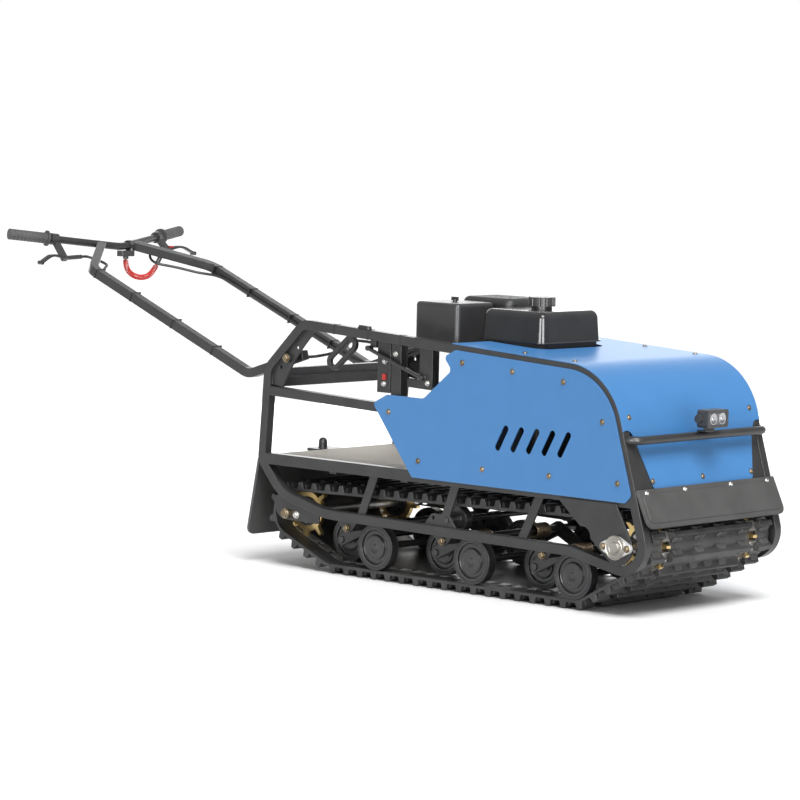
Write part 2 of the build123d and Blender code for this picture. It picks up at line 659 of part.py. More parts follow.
# Front bearing plates and two-eared flanges, outside the side frames
BEARING_R = 46.0
PLATE_TOP_Z = RAIL_Z - 7.0
PLATE_BACK = AXLE_DISTANCE - 187.0
PLATE_FRONT = AXLE_DISTANCE - 12.0
PLATE_HOLLOW_R = 26.0
PLATE_HOLLOW = (AXLE_DISTANCE - 114.0, FRONT_AXLE_Z + 16.0)
FLANGE_R = 28.0
EAR_REACH = 38.0
EAR_R = 11.0
OUTSIDES = [SIDE.offset(FRAME_Y), SIDE.offset(-FRAME_Y - PLATE)]
FLANGE_PLANES = [SIDE.offset(FRAME_Y + PLATE), SIDE.offset(-FRAME_Y - PLATE - FLANGE_THICK)]
with BuildPart() as bearing_plates:
    for plane in OUTSIDES:
        with BuildSketch(plane) as outline:
            discs_hull(
                [
                    (AXLE_DISTANCE, FRONT_AXLE_Z, BEARING_R),
                    (PLATE_BACK, PLATE_TOP_Z - PLATE, PLATE),
                    (PLATE_FRONT, PLATE_TOP_Z - PLATE, PLATE),
                ]
            )
            with Locations(PLATE_HOLLOW):
                Circle(PLATE_HOLLOW_R, mode=Mode.SUBTRACT)
            with Locations((AXLE_DISTANCE, FRONT_AXLE_Z)):
                Circle(AXLE_R + BORE_FIT, mode=Mode.SUBTRACT)
        extrude(outline.sketch, amount=PLATE)
save(bearing_plates, "bearing_plates")
with BuildPart() as bearing_flanges:
    for plane in FLANGE_PLANES:
        with BuildSketch(plane) as outline:
            discs_hull(
                [
                    (AXLE_DISTANCE, FRONT_AXLE_Z, FLANGE_R),
                    (AXLE_DISTANCE - EAR_REACH, FRONT_AXLE_Z, EAR_R),
                    (AXLE_DISTANCE + EAR_REACH, FRONT_AXLE_Z, EAR_R),
                ]
            )
            with Locations((AXLE_DISTANCE, FRONT_AXLE_Z)):
                Circle(AXLE_R + BORE_FIT, mode=Mode.SUBTRACT)
        extrude(outline.sketch, amount=FLANGE_THICK)
save(bearing_flanges, "bearing_flanges")

# Bogies: a pivot shaft across the frame with two rocking arms, two wheel axles, four disc wheels
ARM_EYE = 16.0
ARM_Y = TRACK_Y - 50.0
OUTER_WHEEL_Y = TRACK_Y - 10.0
INNER_WHEEL_Y = TRACK_Y - 90.0
WHEEL_HUB_R = 20.0
WEB = 14.0
RIM_R = WHEEL_R - RIM_RUBBER
RIM_LIP = 6.0
SPRING_Y = TRACK_Y - 130.0
SPRING_R = 21.0
SPRING_LENGTH = 62.0
SHAFT_END = FLAT_Y + PLATE
# reach from the pivot, middle of the wheels, end of their axle
WHEEL_ROWS = [
    (-WHEEL_OFFSET, INNER_WHEEL_Y, ARM_Y + ARM_THICK),
    (WHEEL_OFFSET, OUTER_WHEEL_Y, OUTER_WHEEL_Y + WHEEL_WIDTH / 2),
]


def ring_at(station, y, inner_r, outer_r, width):
    """A ring about a wheel axle."""
    with BuildSketch(SIDE.offset(-y - width / 2)) as ring:
        with Locations((station, WHEEL_Z)):
            Circle(outer_r)
            Circle(inner_r, mode=Mode.SUBTRACT)
    extrude(ring.sketch, amount=width)


for k, station in enumerate(BOGIES):
    with BuildPart(GROUND) as bogie:
        rod_across(station, PIVOT_Z, PIVOT_R, -SHAFT_END, SHAFT_END)
        for side in (-1, 1):
            with BuildSketch(SIDE.offset(-side * ARM_Y - ARM_THICK / 2)) as arm:
                for reach in (-WHEEL_OFFSET, WHEEL_OFFSET):
                    discs_hull([(station, PIVOT_Z, ARM_EYE + SHEET), (station + reach, WHEEL_Z, ARM_EYE)])
                with Locations((station - WHEEL_OFFSET, WHEEL_Z), (station + WHEEL_OFFSET, WHEEL_Z)):
                    Circle(WHEEL_AXLE_R + BORE_FIT, mode=Mode.SUBTRACT)
            extrude(arm.sketch, amount=ARM_THICK)
    save(bogie, f"bogie_{k + 1}")
    with BuildPart(GROUND) as wheels:
        for reach, wheel_y, end_y in WHEEL_ROWS:
            rod_across(station + reach, WHEEL_Z, WHEEL_AXLE_R, -end_y, end_y)
            for side in (-1, 1):
                ring_at(station + reach, side * wheel_y, WHEEL_AXLE_R, WHEEL_HUB_R, WHEEL_WIDTH)
                ring_at(station + reach, side * wheel_y, WHEEL_AXLE_R, RIM_R, WEB)
                ring_at(station + reach, side * wheel_y, RIM_R - RIM_LIP, RIM_R, WHEEL_WIDTH)
    save(wheels, f"wheels_{k + 1}")
with BuildPart() as wheel_rims:
    for station in BOGIES:
        for reach, wheel_y, _ in WHEEL_ROWS:
            for side in (-1, 1):
                ring_at(station + reach, side * wheel_y, RIM_R, WHEEL_R, WHEEL_WIDTH)
save(wheel_rims, "wheel_rims")
with BuildPart() as springs:
    for station in BOGIES:
        for side in (-1, 1):
            with BuildSketch(SIDE.offset(-side * SPRING_Y - SPRING_LENGTH / 2)) as coil:
                with Locations((station, PIVOT_Z)):
                    Circle(SPRING_R)
                    Circle(PIVOT_R + FIT, mode=Mode.SUBTRACT)
            extrude(coil.sketch, amount=SPRING_LENGTH)
save(springs, "springs")

# Carrier rollers, which hold up the track's top run
CARRIER_Y = TRACK_Y - 25.0
CARRIER_WIDTH = 24.0
TOP_RUN_Z = REAR_AXLE_Z + (FRONT_AXLE_Z - REAR_AXLE_Z) * CARRIER_X / AXLE_DISTANCE + WRAP_R
CARRIER_R = TOP_RUN_Z - CARRIER_Z - FIT
CARRIER_HUB_R = CARRIER_R * 0.45
CARRIER_RECESS = 5.0
with BuildPart(GROUND) as carriers:
    rod_across(CARRIER_X, CARRIER_Z, CARRIER_AXLE_R, -SHAFT_END, SHAFT_END)
    for side in (-1, 1):
        with BuildSketch(SIDE.offset(-side * CARRIER_Y - CARRIER_WIDTH / 2)) as roller:
            with Locations((CARRIER_X, CARRIER_Z)):
                Circle(CARRIER_R)
        extrude(roller.sketch, amount=CARRIER_WIDTH)
        for face in (-CARRIER_WIDTH / 2, CARRIER_WIDTH / 2 - CARRIER_RECESS):
            with BuildSketch(SIDE.offset(-side * CARRIER_Y + face)) as recess:
                with Locations((CARRIER_X, CARRIER_Z)):
                    Circle(CARRIER_R - RIM_LIP)
                    Circle(CARRIER_HUB_R, mode=Mode.SUBTRACT)
            extrude(recess.sketch, amount=CARRIER_RECESS, mode=Mode.SUBTRACT)
save(carriers, "carriers")

# Engine on its plate, as one block with its cylinder, starter housing and two ports
ENGINE_PLATE = 6.0
ENGINE_PLATE_TOP = RAIL_Z + RAIL_HEIGHT / 2 + ENGINE_PLATE
ENGINE_PLATE_LENGTH = 300.0
ENGINE_PLATE_WIDTH = 360.0
TANK_LIFT = 6.0
TANK_BASE = loop_height(ENGINE_X) + HOOD_SHEET + TANK_LIFT
CRANKCASE_LENGTH = 240.0
CRANKCASE_WIDTH = 280.0
CRANKCASE_TOP = TANK_BASE - 136.0
CRANKCASE_CORNER = 20.0
CYLINDER_LENGTH = 200.0
CYLINDER_WIDTH = 220.0
STARTER_R = 95.0
STARTER_DEPTH = 40.0
PORT_LENGTH = 140.0
PORT_HEIGHT = 76.0
PORT_WIDTH = 66.0
AIR_BOX_X = ENGINE_X - 240.0
AIR_BOX_Y = -75.0
MUFFLER_X = ENGINE_X - 212.0
MUFFLER_Y = 90.0
AIR_BOX_BASE = TANK_BASE - 18.0
MUFFLER_BASE = TANK_BASE - 11.0
PORT_X = ENGINE_X - CYLINDER_LENGTH / 2 - PORT_LENGTH / 2 + 18.0
with BuildPart(GROUND) as engine_plate:
    with Locations((ENGINE_X + 8, 0, ENGINE_PLATE_TOP - ENGINE_PLATE / 2)):
        Box(ENGINE_PLATE_LENGTH, ENGINE_PLATE_WIDTH, ENGINE_PLATE)
save(engine_plate, "engine_plate")
with BuildPart(GROUND) as engine:
    with Locations((ENGINE_X, 0, (ENGINE_PLATE_TOP + CRANKCASE_TOP) / 2)):
        Box(CRANKCASE_LENGTH, CRANKCASE_WIDTH, CRANKCASE_TOP - ENGINE_PLATE_TOP)
    fillet(engine.edges().filter_by(Axis.Z), CRANKCASE_CORNER)
    with Locations((ENGINE_X, 0, (CRANKCASE_TOP + TANK_BASE) / 2)):
        Box(CYLINDER_LENGTH, CYLINDER_WIDTH, TANK_BASE - CRANKCASE_TOP)
    for port_y, port_top in ((AIR_BOX_Y, AIR_BOX_BASE), (MUFFLER_Y, MUFFLER_BASE)):
        with Locations((PORT_X, port_y, port_top - PORT_HEIGHT / 2)):
            Box(PORT_LENGTH, PORT_WIDTH, PORT_HEIGHT)
    middle_z = (ENGINE_PLATE_TOP + CRANKCASE_TOP) / 2
    rod_across(ENGINE_X, middle_z, STARTER_R, -CRANKCASE_WIDTH / 2 - STARTER_DEPTH, 0)
save(engine, "engine")

# Fuel tank with its rim, and the fluted cap
TANK_HEIGHT = 82.0
TANK_CORNER = 28.0
TANK_TAPER = 5.0
TANK_SHOULDER = 22.0
TANK_RIM = 4.0
CAP_R = 36.0
CAP_HEIGHT = 24.0
CAP_NECK = 8.0
CAP_FLUTES = 12
FLUTE_R = 5.0
with BuildPart() as fuel_tank:
    with BuildSketch(GROUND.offset(TANK_BASE)) as base:
        with Locations((ENGINE_X, 0)):
            RectangleRounded(TANK_LENGTH, TANK_WIDTH, TANK_CORNER)
    extrude(base.sketch, amount=TANK_HEIGHT, taper=TANK_TAPER)
    fillet(fuel_tank.faces().sort_by(Axis.Z)[-1].edges(), TANK_SHOULDER)
    with BuildSketch(GROUND.offset(TANK_BASE)) as rim:
        with Locations((ENGINE_X, 0)):
            RectangleRounded(TANK_LENGTH + 2 * TANK_RIM, TANK_WIDTH + 2 * TANK_RIM, TANK_CORNER + TANK_RIM)
    extrude(rim.sketch, amount=TANK_RIM)
save(fuel_tank, "fuel_tank")
CAP_BASE = TANK_BASE + TANK_HEIGHT
with BuildPart() as fuel_cap:
    with BuildSketch(GROUND.offset(CAP_BASE)) as neck:
        with Locations((ENGINE_X, 0)):
            Circle(CAP_R - CAP_NECK)
    extrude(neck.sketch, amount=CAP_NECK)
    with BuildSketch(GROUND.offset(CAP_BASE + CAP_NECK)) as crown:
        with Locations((ENGINE_X, 0)):
            Circle(CAP_R)
            with PolarLocations(CAP_R + FLUTE_R / 2, CAP_FLUTES):
                Circle(FLUTE_R, mode=Mode.SUBTRACT)
    extrude(crown.sketch, amount=CAP_HEIGHT)
    chamfer(fuel_cap.faces().sort_by(Axis.Z)[-1].edges(), 2 * FIT)
save(fuel_cap, "fuel_cap")

# Air box with its wing nut, and the silencer with its slotted guard
AIR_BOX_LENGTH = 155.0
AIR_BOX_WIDTH = 150.0
AIR_BOX_HEIGHT = 108.0
AIR_BOX_CORNER = 14.0
AIR_BOX_EDGE = 10.0
NUT_R = 6.0
NUT_HEIGHT = 6.0
WING_SPAN = 24.0
WING_HEIGHT = 10.0
with BuildPart(GROUND) as air_box:
    with BuildSketch(GROUND.offset(AIR_BOX_BASE)) as base:
        with Locations((AIR_BOX_X, AIR_BOX_Y)):
            RectangleRounded(AIR_BOX_LENGTH, AIR_BOX_WIDTH, AIR_BOX_CORNER)
    extrude(base.sketch, amount=AIR_BOX_HEIGHT)
    fillet(air_box.faces().sort_by(Axis.Z)[-1].edges(), AIR_BOX_EDGE)
    lid_z = AIR_BOX_BASE + AIR_BOX_HEIGHT
    with Locations((AIR_BOX_X, AIR_BOX_Y, lid_z + NUT_HEIGHT / 2)):
        Cylinder(NUT_R, NUT_HEIGHT)
    with Locations((AIR_BOX_X, AIR_BOX_Y, lid_z + WING_HEIGHT / 2 + SHEET)):
        Box(WING_SPAN, SHEET, WING_HEIGHT)
save(air_box, "air_box")
MUFFLER_LENGTH = 180.0
MUFFLER_WIDTH = 150.0
MUFFLER_HEIGHT = 112.0
MUFFLER_CORNER = 24.0
MUFFLER_EDGE = 18.0
GUARD_SLOTS = 5
GUARD_STEP = 22.0
GUARD_SLOT = 7.0
with BuildPart() as muffler:
    with BuildSketch(GROUND.offset(MUFFLER_BASE)) as base:
        with Locations((MUFFLER_X, MUFFLER_Y)):
            RectangleRounded(MUFFLER_LENGTH, MUFFLER_WIDTH, MUFFLER_CORNER)
    extrude(base.sketch, amount=MUFFLER_HEIGHT)
    fillet(muffler.faces().sort_by(Axis.Z)[-1].edges(), MUFFLER_EDGE)
    with BuildSketch(GROUND.offset(MUFFLER_BASE + MUFFLER_HEIGHT)) as guard:
        with Locations((MUFFLER_X, MUFFLER_Y)):
            with GridLocations(GUARD_STEP, 0, GUARD_SLOTS, 1):
                SlotOverall(MUFFLER_WIDTH / 2, GUARD_SLOT, rotation=90)
    extrude(guard.sketch, amount=-SHEET, mode=Mode.SUBTRACT)
save(muffler, "muffler")

# Controls that hang from the right top rail: column, quadrant, hanger, shift loop, link and plug
COLUMN_DEPTH = 26.0
CONTROL_Y = INNER_Y + PLATE
COLUMN_FOOT = MID_RAIL_Z + 18.0
HANGER_FOOT = MID_RAIL_Z + 46.0
# rear station, front station, foot height, depth inwards
HUNG = [
    (ENGINE_X - 292, ENGINE_X - 258, COLUMN_FOOT, COLUMN_DEPTH),
    (ENGINE_X - 342, ENGINE_X - 296, COLUMN_FOOT + PLATE, PLATE),
    (ENGINE_X - 192, ENGINE_X - 146, HANGER_FOOT, COLUMN_DEPTH),
]
LINK_ENDS = [(ENGINE_X - 370, TOP_Z - 63), (ENGINE_X - 178, TOP_Z - 129)]
LINK = 8.0
LINK_BOSS_R = 7.0
SHIFT_LENGTH = 124.0
SHIFT_WIDTH = 46.0
SHIFT_BAR = 12.0
SHIFT_LEAN = 41.0
SHIFT_X = ENGINE_X - 476.0
SHIFT_TOP_X = SHIFT_X + (SHIFT_LENGTH - SHIFT_WIDTH) / 2 * cos(radians(SHIFT_LEAN))
SHIFT_RISE = (SHIFT_LENGTH - SHIFT_WIDTH) / 2 * sin(radians(SHIFT_LEAN)) + SHIFT_WIDTH / 2
SHIFT_Z = rail_under(SHIFT_TOP_X) - SHIFT_RISE - FIT
CABLE_R = 4.0
CABLE_STOP = (ENGINE_X - 368.0, INNER_Y - 18.0, rail_under(ENGINE_X - 368.0) - 12.0)
STOP_SIZE = 20.0
PLUG_X = ENGINE_X - 384.0
PLUG_LENGTH = 46.0
PLUG_WIDTH = 22.0
PLUG_HEIGHT = 9.0
PLUG_PLANE = Plane(
    origin=(REAR_AXLE_X + PLUG_X, -FLAT_Y, loop_height(PLUG_X)),
    x_dir=(1, 0, TOP_SLOPE),
    z_dir=(-TOP_SLOPE, 0, 1),
)


def hung_outline(rear, front, foot):
    """Corners of a plate that hangs from the underside of the top rail."""
    return [(rear, foot), (front, foot), (front, rail_under(front) - FIT), (rear, rail_under(rear) - FIT)]


with BuildPart(GROUND) as control_group:
    for rear, front, foot, depth in HUNG:
        with BuildSketch(SIDE.offset(CONTROL_Y - depth)) as block:
            with BuildLine():
                Polyline(*hung_outline(rear, front, foot), close=True)
            make_face()
        extrude(block.sketch, amount=depth)
    rear, front, foot, depth = HUNG[-1]
    with BuildSketch(SIDE.offset(CONTROL_Y - COLUMN_DEPTH)) as foot_plate:
        with Locations(((rear + front) / 2, foot)):
            Rectangle(front - rear + 2 * PLATE, PLATE)
    extrude(foot_plate.sketch, amount=COLUMN_DEPTH)
    with BuildSketch(SIDE.offset(CONTROL_Y + PLATE)) as link:
        strip(LINK_ENDS[0], LINK_ENDS[1], LINK)
    extrude(link.sketch, amount=LINK)
    with BuildSketch(SIDE.offset(CONTROL_Y - PLATE)) as bosses:
        with Locations(*LINK_ENDS):
            Circle(LINK_BOSS_R)
    extrude(bosses.sketch, amount=LINK + 2 * PLATE)
    with BuildSketch(SIDE.offset(CONTROL_Y - SHIFT_BAR)) as shift_loop:
        with Locations((SHIFT_X, SHIFT_Z)):
            SlotOverall(SHIFT_LENGTH, SHIFT_WIDTH, rotation=SHIFT_LEAN)
            SlotOverall(
                SHIFT_LENGTH - 2 * SHIFT_BAR,
                SHIFT_WIDTH - 2 * SHIFT_BAR,
                rotation=SHIFT_LEAN,
                mode=Mode.SUBTRACT,
            )
    extrude(shift_loop.sketch, amount=SHIFT_BAR)
    with BuildSketch(SIDE.offset(CONTROL_Y - SHIFT_BAR)) as shift_block:
        with BuildLine():
            rear, front = SHIFT_TOP_X - SHIFT_BAR, SHIFT_TOP_X + SHIFT_BAR
            foot = SHIFT_Z + SHIFT_RISE - SHIFT_BAR
            Polyline(*hung_outline(rear, front, foot), close=True)
        make_face()
    extrude(shift_block.sketch, amount=SHIFT_BAR)
    with Locations((CABLE_STOP[0] + STOP_SIZE / 2, -CABLE_STOP[1] - PLATE, CABLE_STOP[2])):
        Box(STOP_SIZE, 2 * STOP_SIZE, STOP_SIZE)
    with BuildSketch(PLUG_PLANE.offset(FIT)) as plug:
        SlotOverall(PLUG_LENGTH, PLUG_WIDTH)
    extrude(plug.sketch, amount=PLUG_HEIGHT, taper=20)
save(control_group, "control_group")

# Tow hitch on the rear cross bar: a plate and a domed pin
HITCH_PIN_R = 12.5
HITCH_PIN_LENGTH = 16.0
HITCH_PIN_X = REAR_BAR_X - 37.6
HITCH_PLATE = 8.0
HITCH_WIDTH = 90.0
HITCH_END = HITCH_PIN_X - 2 * HITCH_PIN_R
with BuildPart() as tow_hitch:
    with BuildSketch(GROUND.offset(DECK_BASE)) as hitch_plate:
        with Locations(((HITCH_END + DECK_START - FIT) / 2, 0)):
            Rectangle(DECK_START - FIT - HITCH_END, HITCH_WIDTH)
        fillet(hitch_plate.vertices().group_by(Axis.X)[0], HITCH_PIN_R)
    extrude(hitch_plate.sketch, amount=HITCH_PLATE)
    with BuildSketch(GROUND.offset(DECK_BASE + HITCH_PLATE)) as pin:
        with Locations((HITCH_PIN_X, 0)):
            Circle(HITCH_PIN_R)
    extrude(pin.sketch, amount=HITCH_PIN_LENGTH)
    with Locations((REAR_AXLE_X + HITCH_PIN_X, 0, DECK_BASE + HITCH_PLATE + HITCH_PIN_LENGTH)):
        Sphere(HITCH_PIN_R)
save(tow_hitch, "tow_hitch")

# Handle: gooseneck legs that narrow to a swept bar, turning on two pins in the gussets
LEG_Y = INNER_Y - LEG / 2 - LEG_GAP
LEG_TAIL = from_pivot((30.0, 9.8))
LEG_NECK = from_pivot((-176.5, -57.4))
LEG_BEND = from_pivot((-826.0, 198.0))
LEG_TOP = from_pivot((-984.0, 258.0))
LEG_TOP_Y = 61.0
LEG_RADIUS = 60.0
BAR_CENTRE = from_pivot((-962.0, 253.0))
BAR_END = from_pivot((-1073.0, 290.0))
BAR_END_Y = 338.0
BAR_BEND = 90.0
TIE = from_pivot((-74.0, -45.0))
TIE_SIZE = 22.0
PIN_HEAD_R = 12.0
PIN_HEAD = 8.0
# Tether of the stop switch, which hangs in a bow from the switch to a lug on the left leg
TETHER_R = 5.5
LUG_R = 7.0
LUG_LENGTH = 32.0
TETHER = [
    (-966.0, 20.0, 791.0),
    (-966.0, 20.0, 765.0),
    (-957.0, 40.0, 741.0),
    (-946.0, 73.0, 734.0),
    (-938.0, 101.0, 747.0),
    (-933.0, 114.5, 774.0),
]
TETHER_TIP = Vector(TETHER[-1])
TETHER_END = Plane(origin=Vector(REAR_AXLE_X, 0, 0) + TETHER_TIP, z_dir=TETHER_TIP - Vector(TETHER[-2]))
with BuildPart(GROUND) as handle_frame:
    for side in (-1, 1):
        with BuildLine(GROUND) as leg_path:
            FilletPolyline(
                (LEG_TAIL[0], side * LEG_Y, LEG_TAIL[1]),
                (LEG_NECK[0], side * LEG_Y, LEG_NECK[1]),
                (LEG_BEND[0], side * LEG_Y, LEG_BEND[1]),
                (LEG_TOP[0], side * LEG_TOP_Y, LEG_TOP[1]),
                radius=LEG_RADIUS,
            )
        leg_foot = Plane(origin=leg_path.line @ 0, x_dir=(0, 1, 0), z_dir=leg_path.line % 0)
        with BuildSketch(leg_foot) as section:
            Rectangle(LEG, LEG)
        sweep(section.sketch, path=leg_path.line)
        low, high = sorted((side * (LEG_Y + LEG / 2 - 2), side * (GUSSET_Y + 1 + PIN_HEAD)))
        rod_across(0, PIVOT_HEIGHT, PIN_R, low, high)
        low, high = sorted((side * (GUSSET_Y + 1), side * (GUSSET_Y + 1 + PIN_HEAD)))
        rod_across(0, PIVOT_HEIGHT, PIN_HEAD_R, low, high)
    tube_along(
        [
            (BAR_END[0], -BAR_END_Y, BAR_END[1]),
            (BAR_CENTRE[0], 0, BAR_CENTRE[1]),
            (BAR_END[0], BAR_END_Y, BAR_END[1]),
        ],
        BAR_BEND,
        BAR_R,
    )
    bar_across(TIE[0], TIE[1], TIE_SIZE, TIE_SIZE, LEG_Y)
    with BuildSketch(TETHER_END) as lug:
        Circle(LUG_R)
    extrude(lug.sketch, amount=LUG_LENGTH)
save(handle_frame, "handle_frame")
with BuildPart() as tether:
    tube_along(TETHER, widest_bends(TETHER), TETHER_R)
save(tether, "tether")
print("tether bends", [round(r) for r in widest_bends(TETHER)])

# Grips on the ends of the bar
GRIP_LENGTH = 122.0
GRIP_R = 16.0
GRIP_CAP = 4.0
GRIP_FLANGE_R = 23.0
GRIP_FLANGE = 5.0
GRIP_RINGS = 9
GRIP_GROOVE = 1.2


def bar_spot(distance, side):
    """Station, y and height on the bar at a distance in from its end."""
    end = Vector(BAR_END[0], side * BAR_END_Y, BAR_END[1])
    inwards = Vector(BAR_CENTRE[0], 0, BAR_CENTRE[1]) - end
    return end + inwards.normalized() * distance


def bar_plane(distance, side):
    """Plane across the bar at a distance in from its end, facing outwards along the bar."""
    spot = bar_spot(distance, side)
    return Plane(origin=spot + Vector(REAR_AXLE_X, 0, 0), z_dir=spot - bar_spot(distance + 1, side))


GRIP_STEP = (GRIP_LENGTH - 4 * GRIP_FLANGE) / GRIP_RINGS
for side, name in ((-1, "right"), (1, "left")):
    with BuildPart() as grip:
        with BuildSketch(bar_plane(GRIP_LENGTH - GRIP_CAP, side)) as body:
            Circle(GRIP_R)
        extrude(body.sketch, amount=GRIP_LENGTH)
        with BuildSketch(bar_plane(GRIP_LENGTH - GRIP_CAP, side)) as flange:
            Circle(GRIP_FLANGE_R)
        extrude(flange.sketch, amount=GRIP_FLANGE)
        for k in range(GRIP_RINGS):
            with BuildSketch(bar_plane(2 * GRIP_FLANGE + k * GRIP_STEP, side)) as groove:
                Circle(GRIP_R + 1)
                Circle(GRIP_R - GRIP_GROOVE, mode=Mode.SUBTRACT)
            extrude(groove.sketch, amount=GRIP_STEP / 3, mode=Mode.SUBTRACT)
        with BuildSketch(bar_plane(GRIP_LENGTH - GRIP_CAP, side)) as bore:
            Circle(BAR_R + CLAMP_FIT)
        extrude(bore.sketch, amount=GRIP_LENGTH - GRIP_CAP + CLAMP_FIT, mode=Mode.SUBTRACT)
    save(grip, f"grip_{name}")

# Hand levers inside the grips: clamp, bracket down to the pivot, barrel for the cable and hooked blade
CLAMP_R = 17.0
CLAMP_WIDTH = 22.0
CLAMP_DISTANCE = 150.0
BRACKET = (18.0, 14.0)
BRACKET_REACH = 45.0
BARREL_R = 6.5
BARREL_LENGTH = 60.0
BLADE = (14.0, 7.0)
BLADE_KNEE = (5.0, 52.0, 12.0)
BLADE_TIP = (10.0, 99.0, -11.0)
BLADE_BEND = 60.0
TIP_R = 6.0
# side, name, drop of the pivot below the bar
LEVERS = [(-1, "right", 53.0), (1, "left", 36.0)]


def lever_pivot(side, drop):
    """Station, y and height of a hand lever's pivot."""
    return bar_spot(CLAMP_DISTANCE - CLAMP_WIDTH / 2, side) + Vector(BRACKET_REACH, 0, -drop)


def barrel_way(side):
    """Direction in which the cable leaves a lever's barrel."""
    return Vector(0.12, -side, 0.05).normalized()


for side, name, drop in LEVERS:
    clamp_plane = bar_plane(CLAMP_DISTANCE, side)
    clamp_centre = bar_plane(CLAMP_DISTANCE - CLAMP_WIDTH / 2, side).origin
    pivot = lever_pivot(side, drop) + Vector(REAR_AXLE_X, 0, 0)
    knee = pivot + Vector(BLADE_KNEE[0], side * BLADE_KNEE[1], BLADE_KNEE[2])
    tip = pivot + Vector(BLADE_TIP[0], side * BLADE_TIP[1], BLADE_TIP[2])
    with BuildPart() as lever:
        with BuildSketch(clamp_plane) as clamp:
            Circle(CLAMP_R)
        extrude(clamp.sketch, amount=CLAMP_WIDTH)
        with BuildSketch(Plane(origin=clamp_centre, x_dir=(0, 1, 0), z_dir=pivot - clamp_centre)) as bracket:
            Rectangle(*BRACKET)
        extrude(bracket.sketch, amount=(pivot - clamp_centre).length + BRACKET[1] / 2)
        with BuildSketch(Plane(origin=pivot, z_dir=barrel_way(side))) as barrel:
            Circle(BARREL_R)
        extrude(barrel.sketch, amount=BARREL_LENGTH)
        with BuildLine() as blade_path:
            FilletPolyline(pivot, knee, tip, radius=BLADE_BEND)
        with BuildSketch(Plane(origin=pivot, x_dir=(1, 0, 0), z_dir=blade_path.line % 0)) as blade:
            Rectangle(*BLADE)
        sweep(blade.sketch, path=blade_path.line)
        with Locations(Location(tip, (0, 90, 0))):
            Cylinder(TIP_R, BLADE[0] + TIP_R / 2)
        with BuildSketch(clamp_plane.offset(-CLAMP_WIDTH)) as bore:
            Circle(BAR_R + CLAMP_FIT)
        extrude(bore.sketch, amount=CLAMP_WIDTH * 3, mode=Mode.SUBTRACT)
    save(lever, f"lever_{name}")

# Stop switch under the middle of the bar, clamped to it, with the tether's gland
SWITCH_SIZE = (26.0, 50.0, 17.0)
SWITCH_TOP = BAR_CENTRE[1] - BAR_R
SADDLE_DISTANCE = 324.0
SADDLE_R = 15.0
SADDLE_WIDTH = 14.0
GLAND_R = 8.5
with BuildPart(GROUND) as switch_box:
    exit_x, exit_y, exit_z = TETHER[0]
    with Locations((exit_x, exit_y, SWITCH_TOP - SWITCH_SIZE[2] / 2)):
        Box(*SWITCH_SIZE)
    fillet(switch_box.edges().filter_by(Axis.Z), SHEET)
    with Locations((exit_x, exit_y, (exit_z + SWITCH_TOP) / 2)):
        Cylinder(GLAND_R, SWITCH_TOP - exit_z)
    with BuildSketch(bar_plane(SADDLE_DISTANCE, 1)) as saddle:
        Circle(SADDLE_R)
    extrude(saddle.sketch, amount=SADDLE_WIDTH)
    with Locations(bar_spot(SADDLE_DISTANCE - SADDLE_WIDTH / 2, 1) - Vector(0, 0, SADDLE_R)):
        Box(SADDLE_WIDTH, SADDLE_WIDTH / 2, SADDLE_R)
    with BuildSketch(bar_plane(SADDLE_DISTANCE + SADDLE_WIDTH, 1)) as bore:
        Circle(BAR_R + CLAMP_FIT)
    extrude(bore.sketch, amount=3 * SADDLE_WIDTH, mode=Mode.SUBTRACT)
save(switch_box, "switch_box")

# Control cables, tied along the handle's legs as far as its pivot and on along the top rails
CABLE_Y = LEG_Y - LEG / 2 - CABLE_R - FIT
CABLE_DROP = 4.0
CABLE_TURN_Y = CABLE_Y - 28.0
# station, y and height of the loose bow between the lever and the leg
CABLE_BOW = [(-950.0, 103.0, 790.0), (-916.0, 98.0, 778.0), (-880.0, 146.0, 768.0), (-836.0, 198.0, 752.0)]
CABLE_TIE = (-735.0, LEG_BEND[1] - 35.8 - CABLE_DROP)
with BuildPart() as handle_cables:
    for side, _, drop in LEVERS:
        start = lever_pivot(side, drop) + barrel_way(side) * BARREL_LENGTH
        route = [tuple(start), tuple(start + barrel_way(side) * CABLE_DROP * 5)]
        route += [(x, side * y, z) for x, y, z in CABLE_BOW]
        route += [
            (-786.0, side * (CABLE_Y - 2), CABLE_TIE[1] + 15),
            (CABLE_TIE[0], side * CABLE_Y, CABLE_TIE[1]),
            (LEG_NECK[0], side * CABLE_Y, LEG_NECK[1] - CABLE_DROP),
            (0.0, side * CABLE_Y, PIVOT_HEIGHT),
            (0.0, side * CABLE_TURN_Y, PIVOT_HEIGHT),
        ]
        tube_along(route, widest_bends(route), CABLE_R)
save(handle_cables, "handle_cables")
RAIL_CABLE_Y = INNER_Y - CABLE_R - FIT
# the part of a route that both sides share, from the pivot to the top rail
CABLE_START = [
    (0.0, CABLE_TURN_Y - 1, PIVOT_HEIGHT),
    (0.0, CABLE_TURN_Y - 27, PIVOT_HEIGHT),
    (60.0, CABLE_TURN_Y - 29, PIVOT_HEIGHT + 12),
    (125.0, CABLE_TURN_Y - 15, PIVOT_HEIGHT + 32),
    (178.0, CABLE_TURN_Y + 27, PIVOT_HEIGHT + 56),
]
PORT_END = (PORT_X - PORT_LENGTH / 4, MUFFLER_Y + PORT_WIDTH / 2 + FIT, MUFFLER_BASE - PORT_HEIGHT / 2)
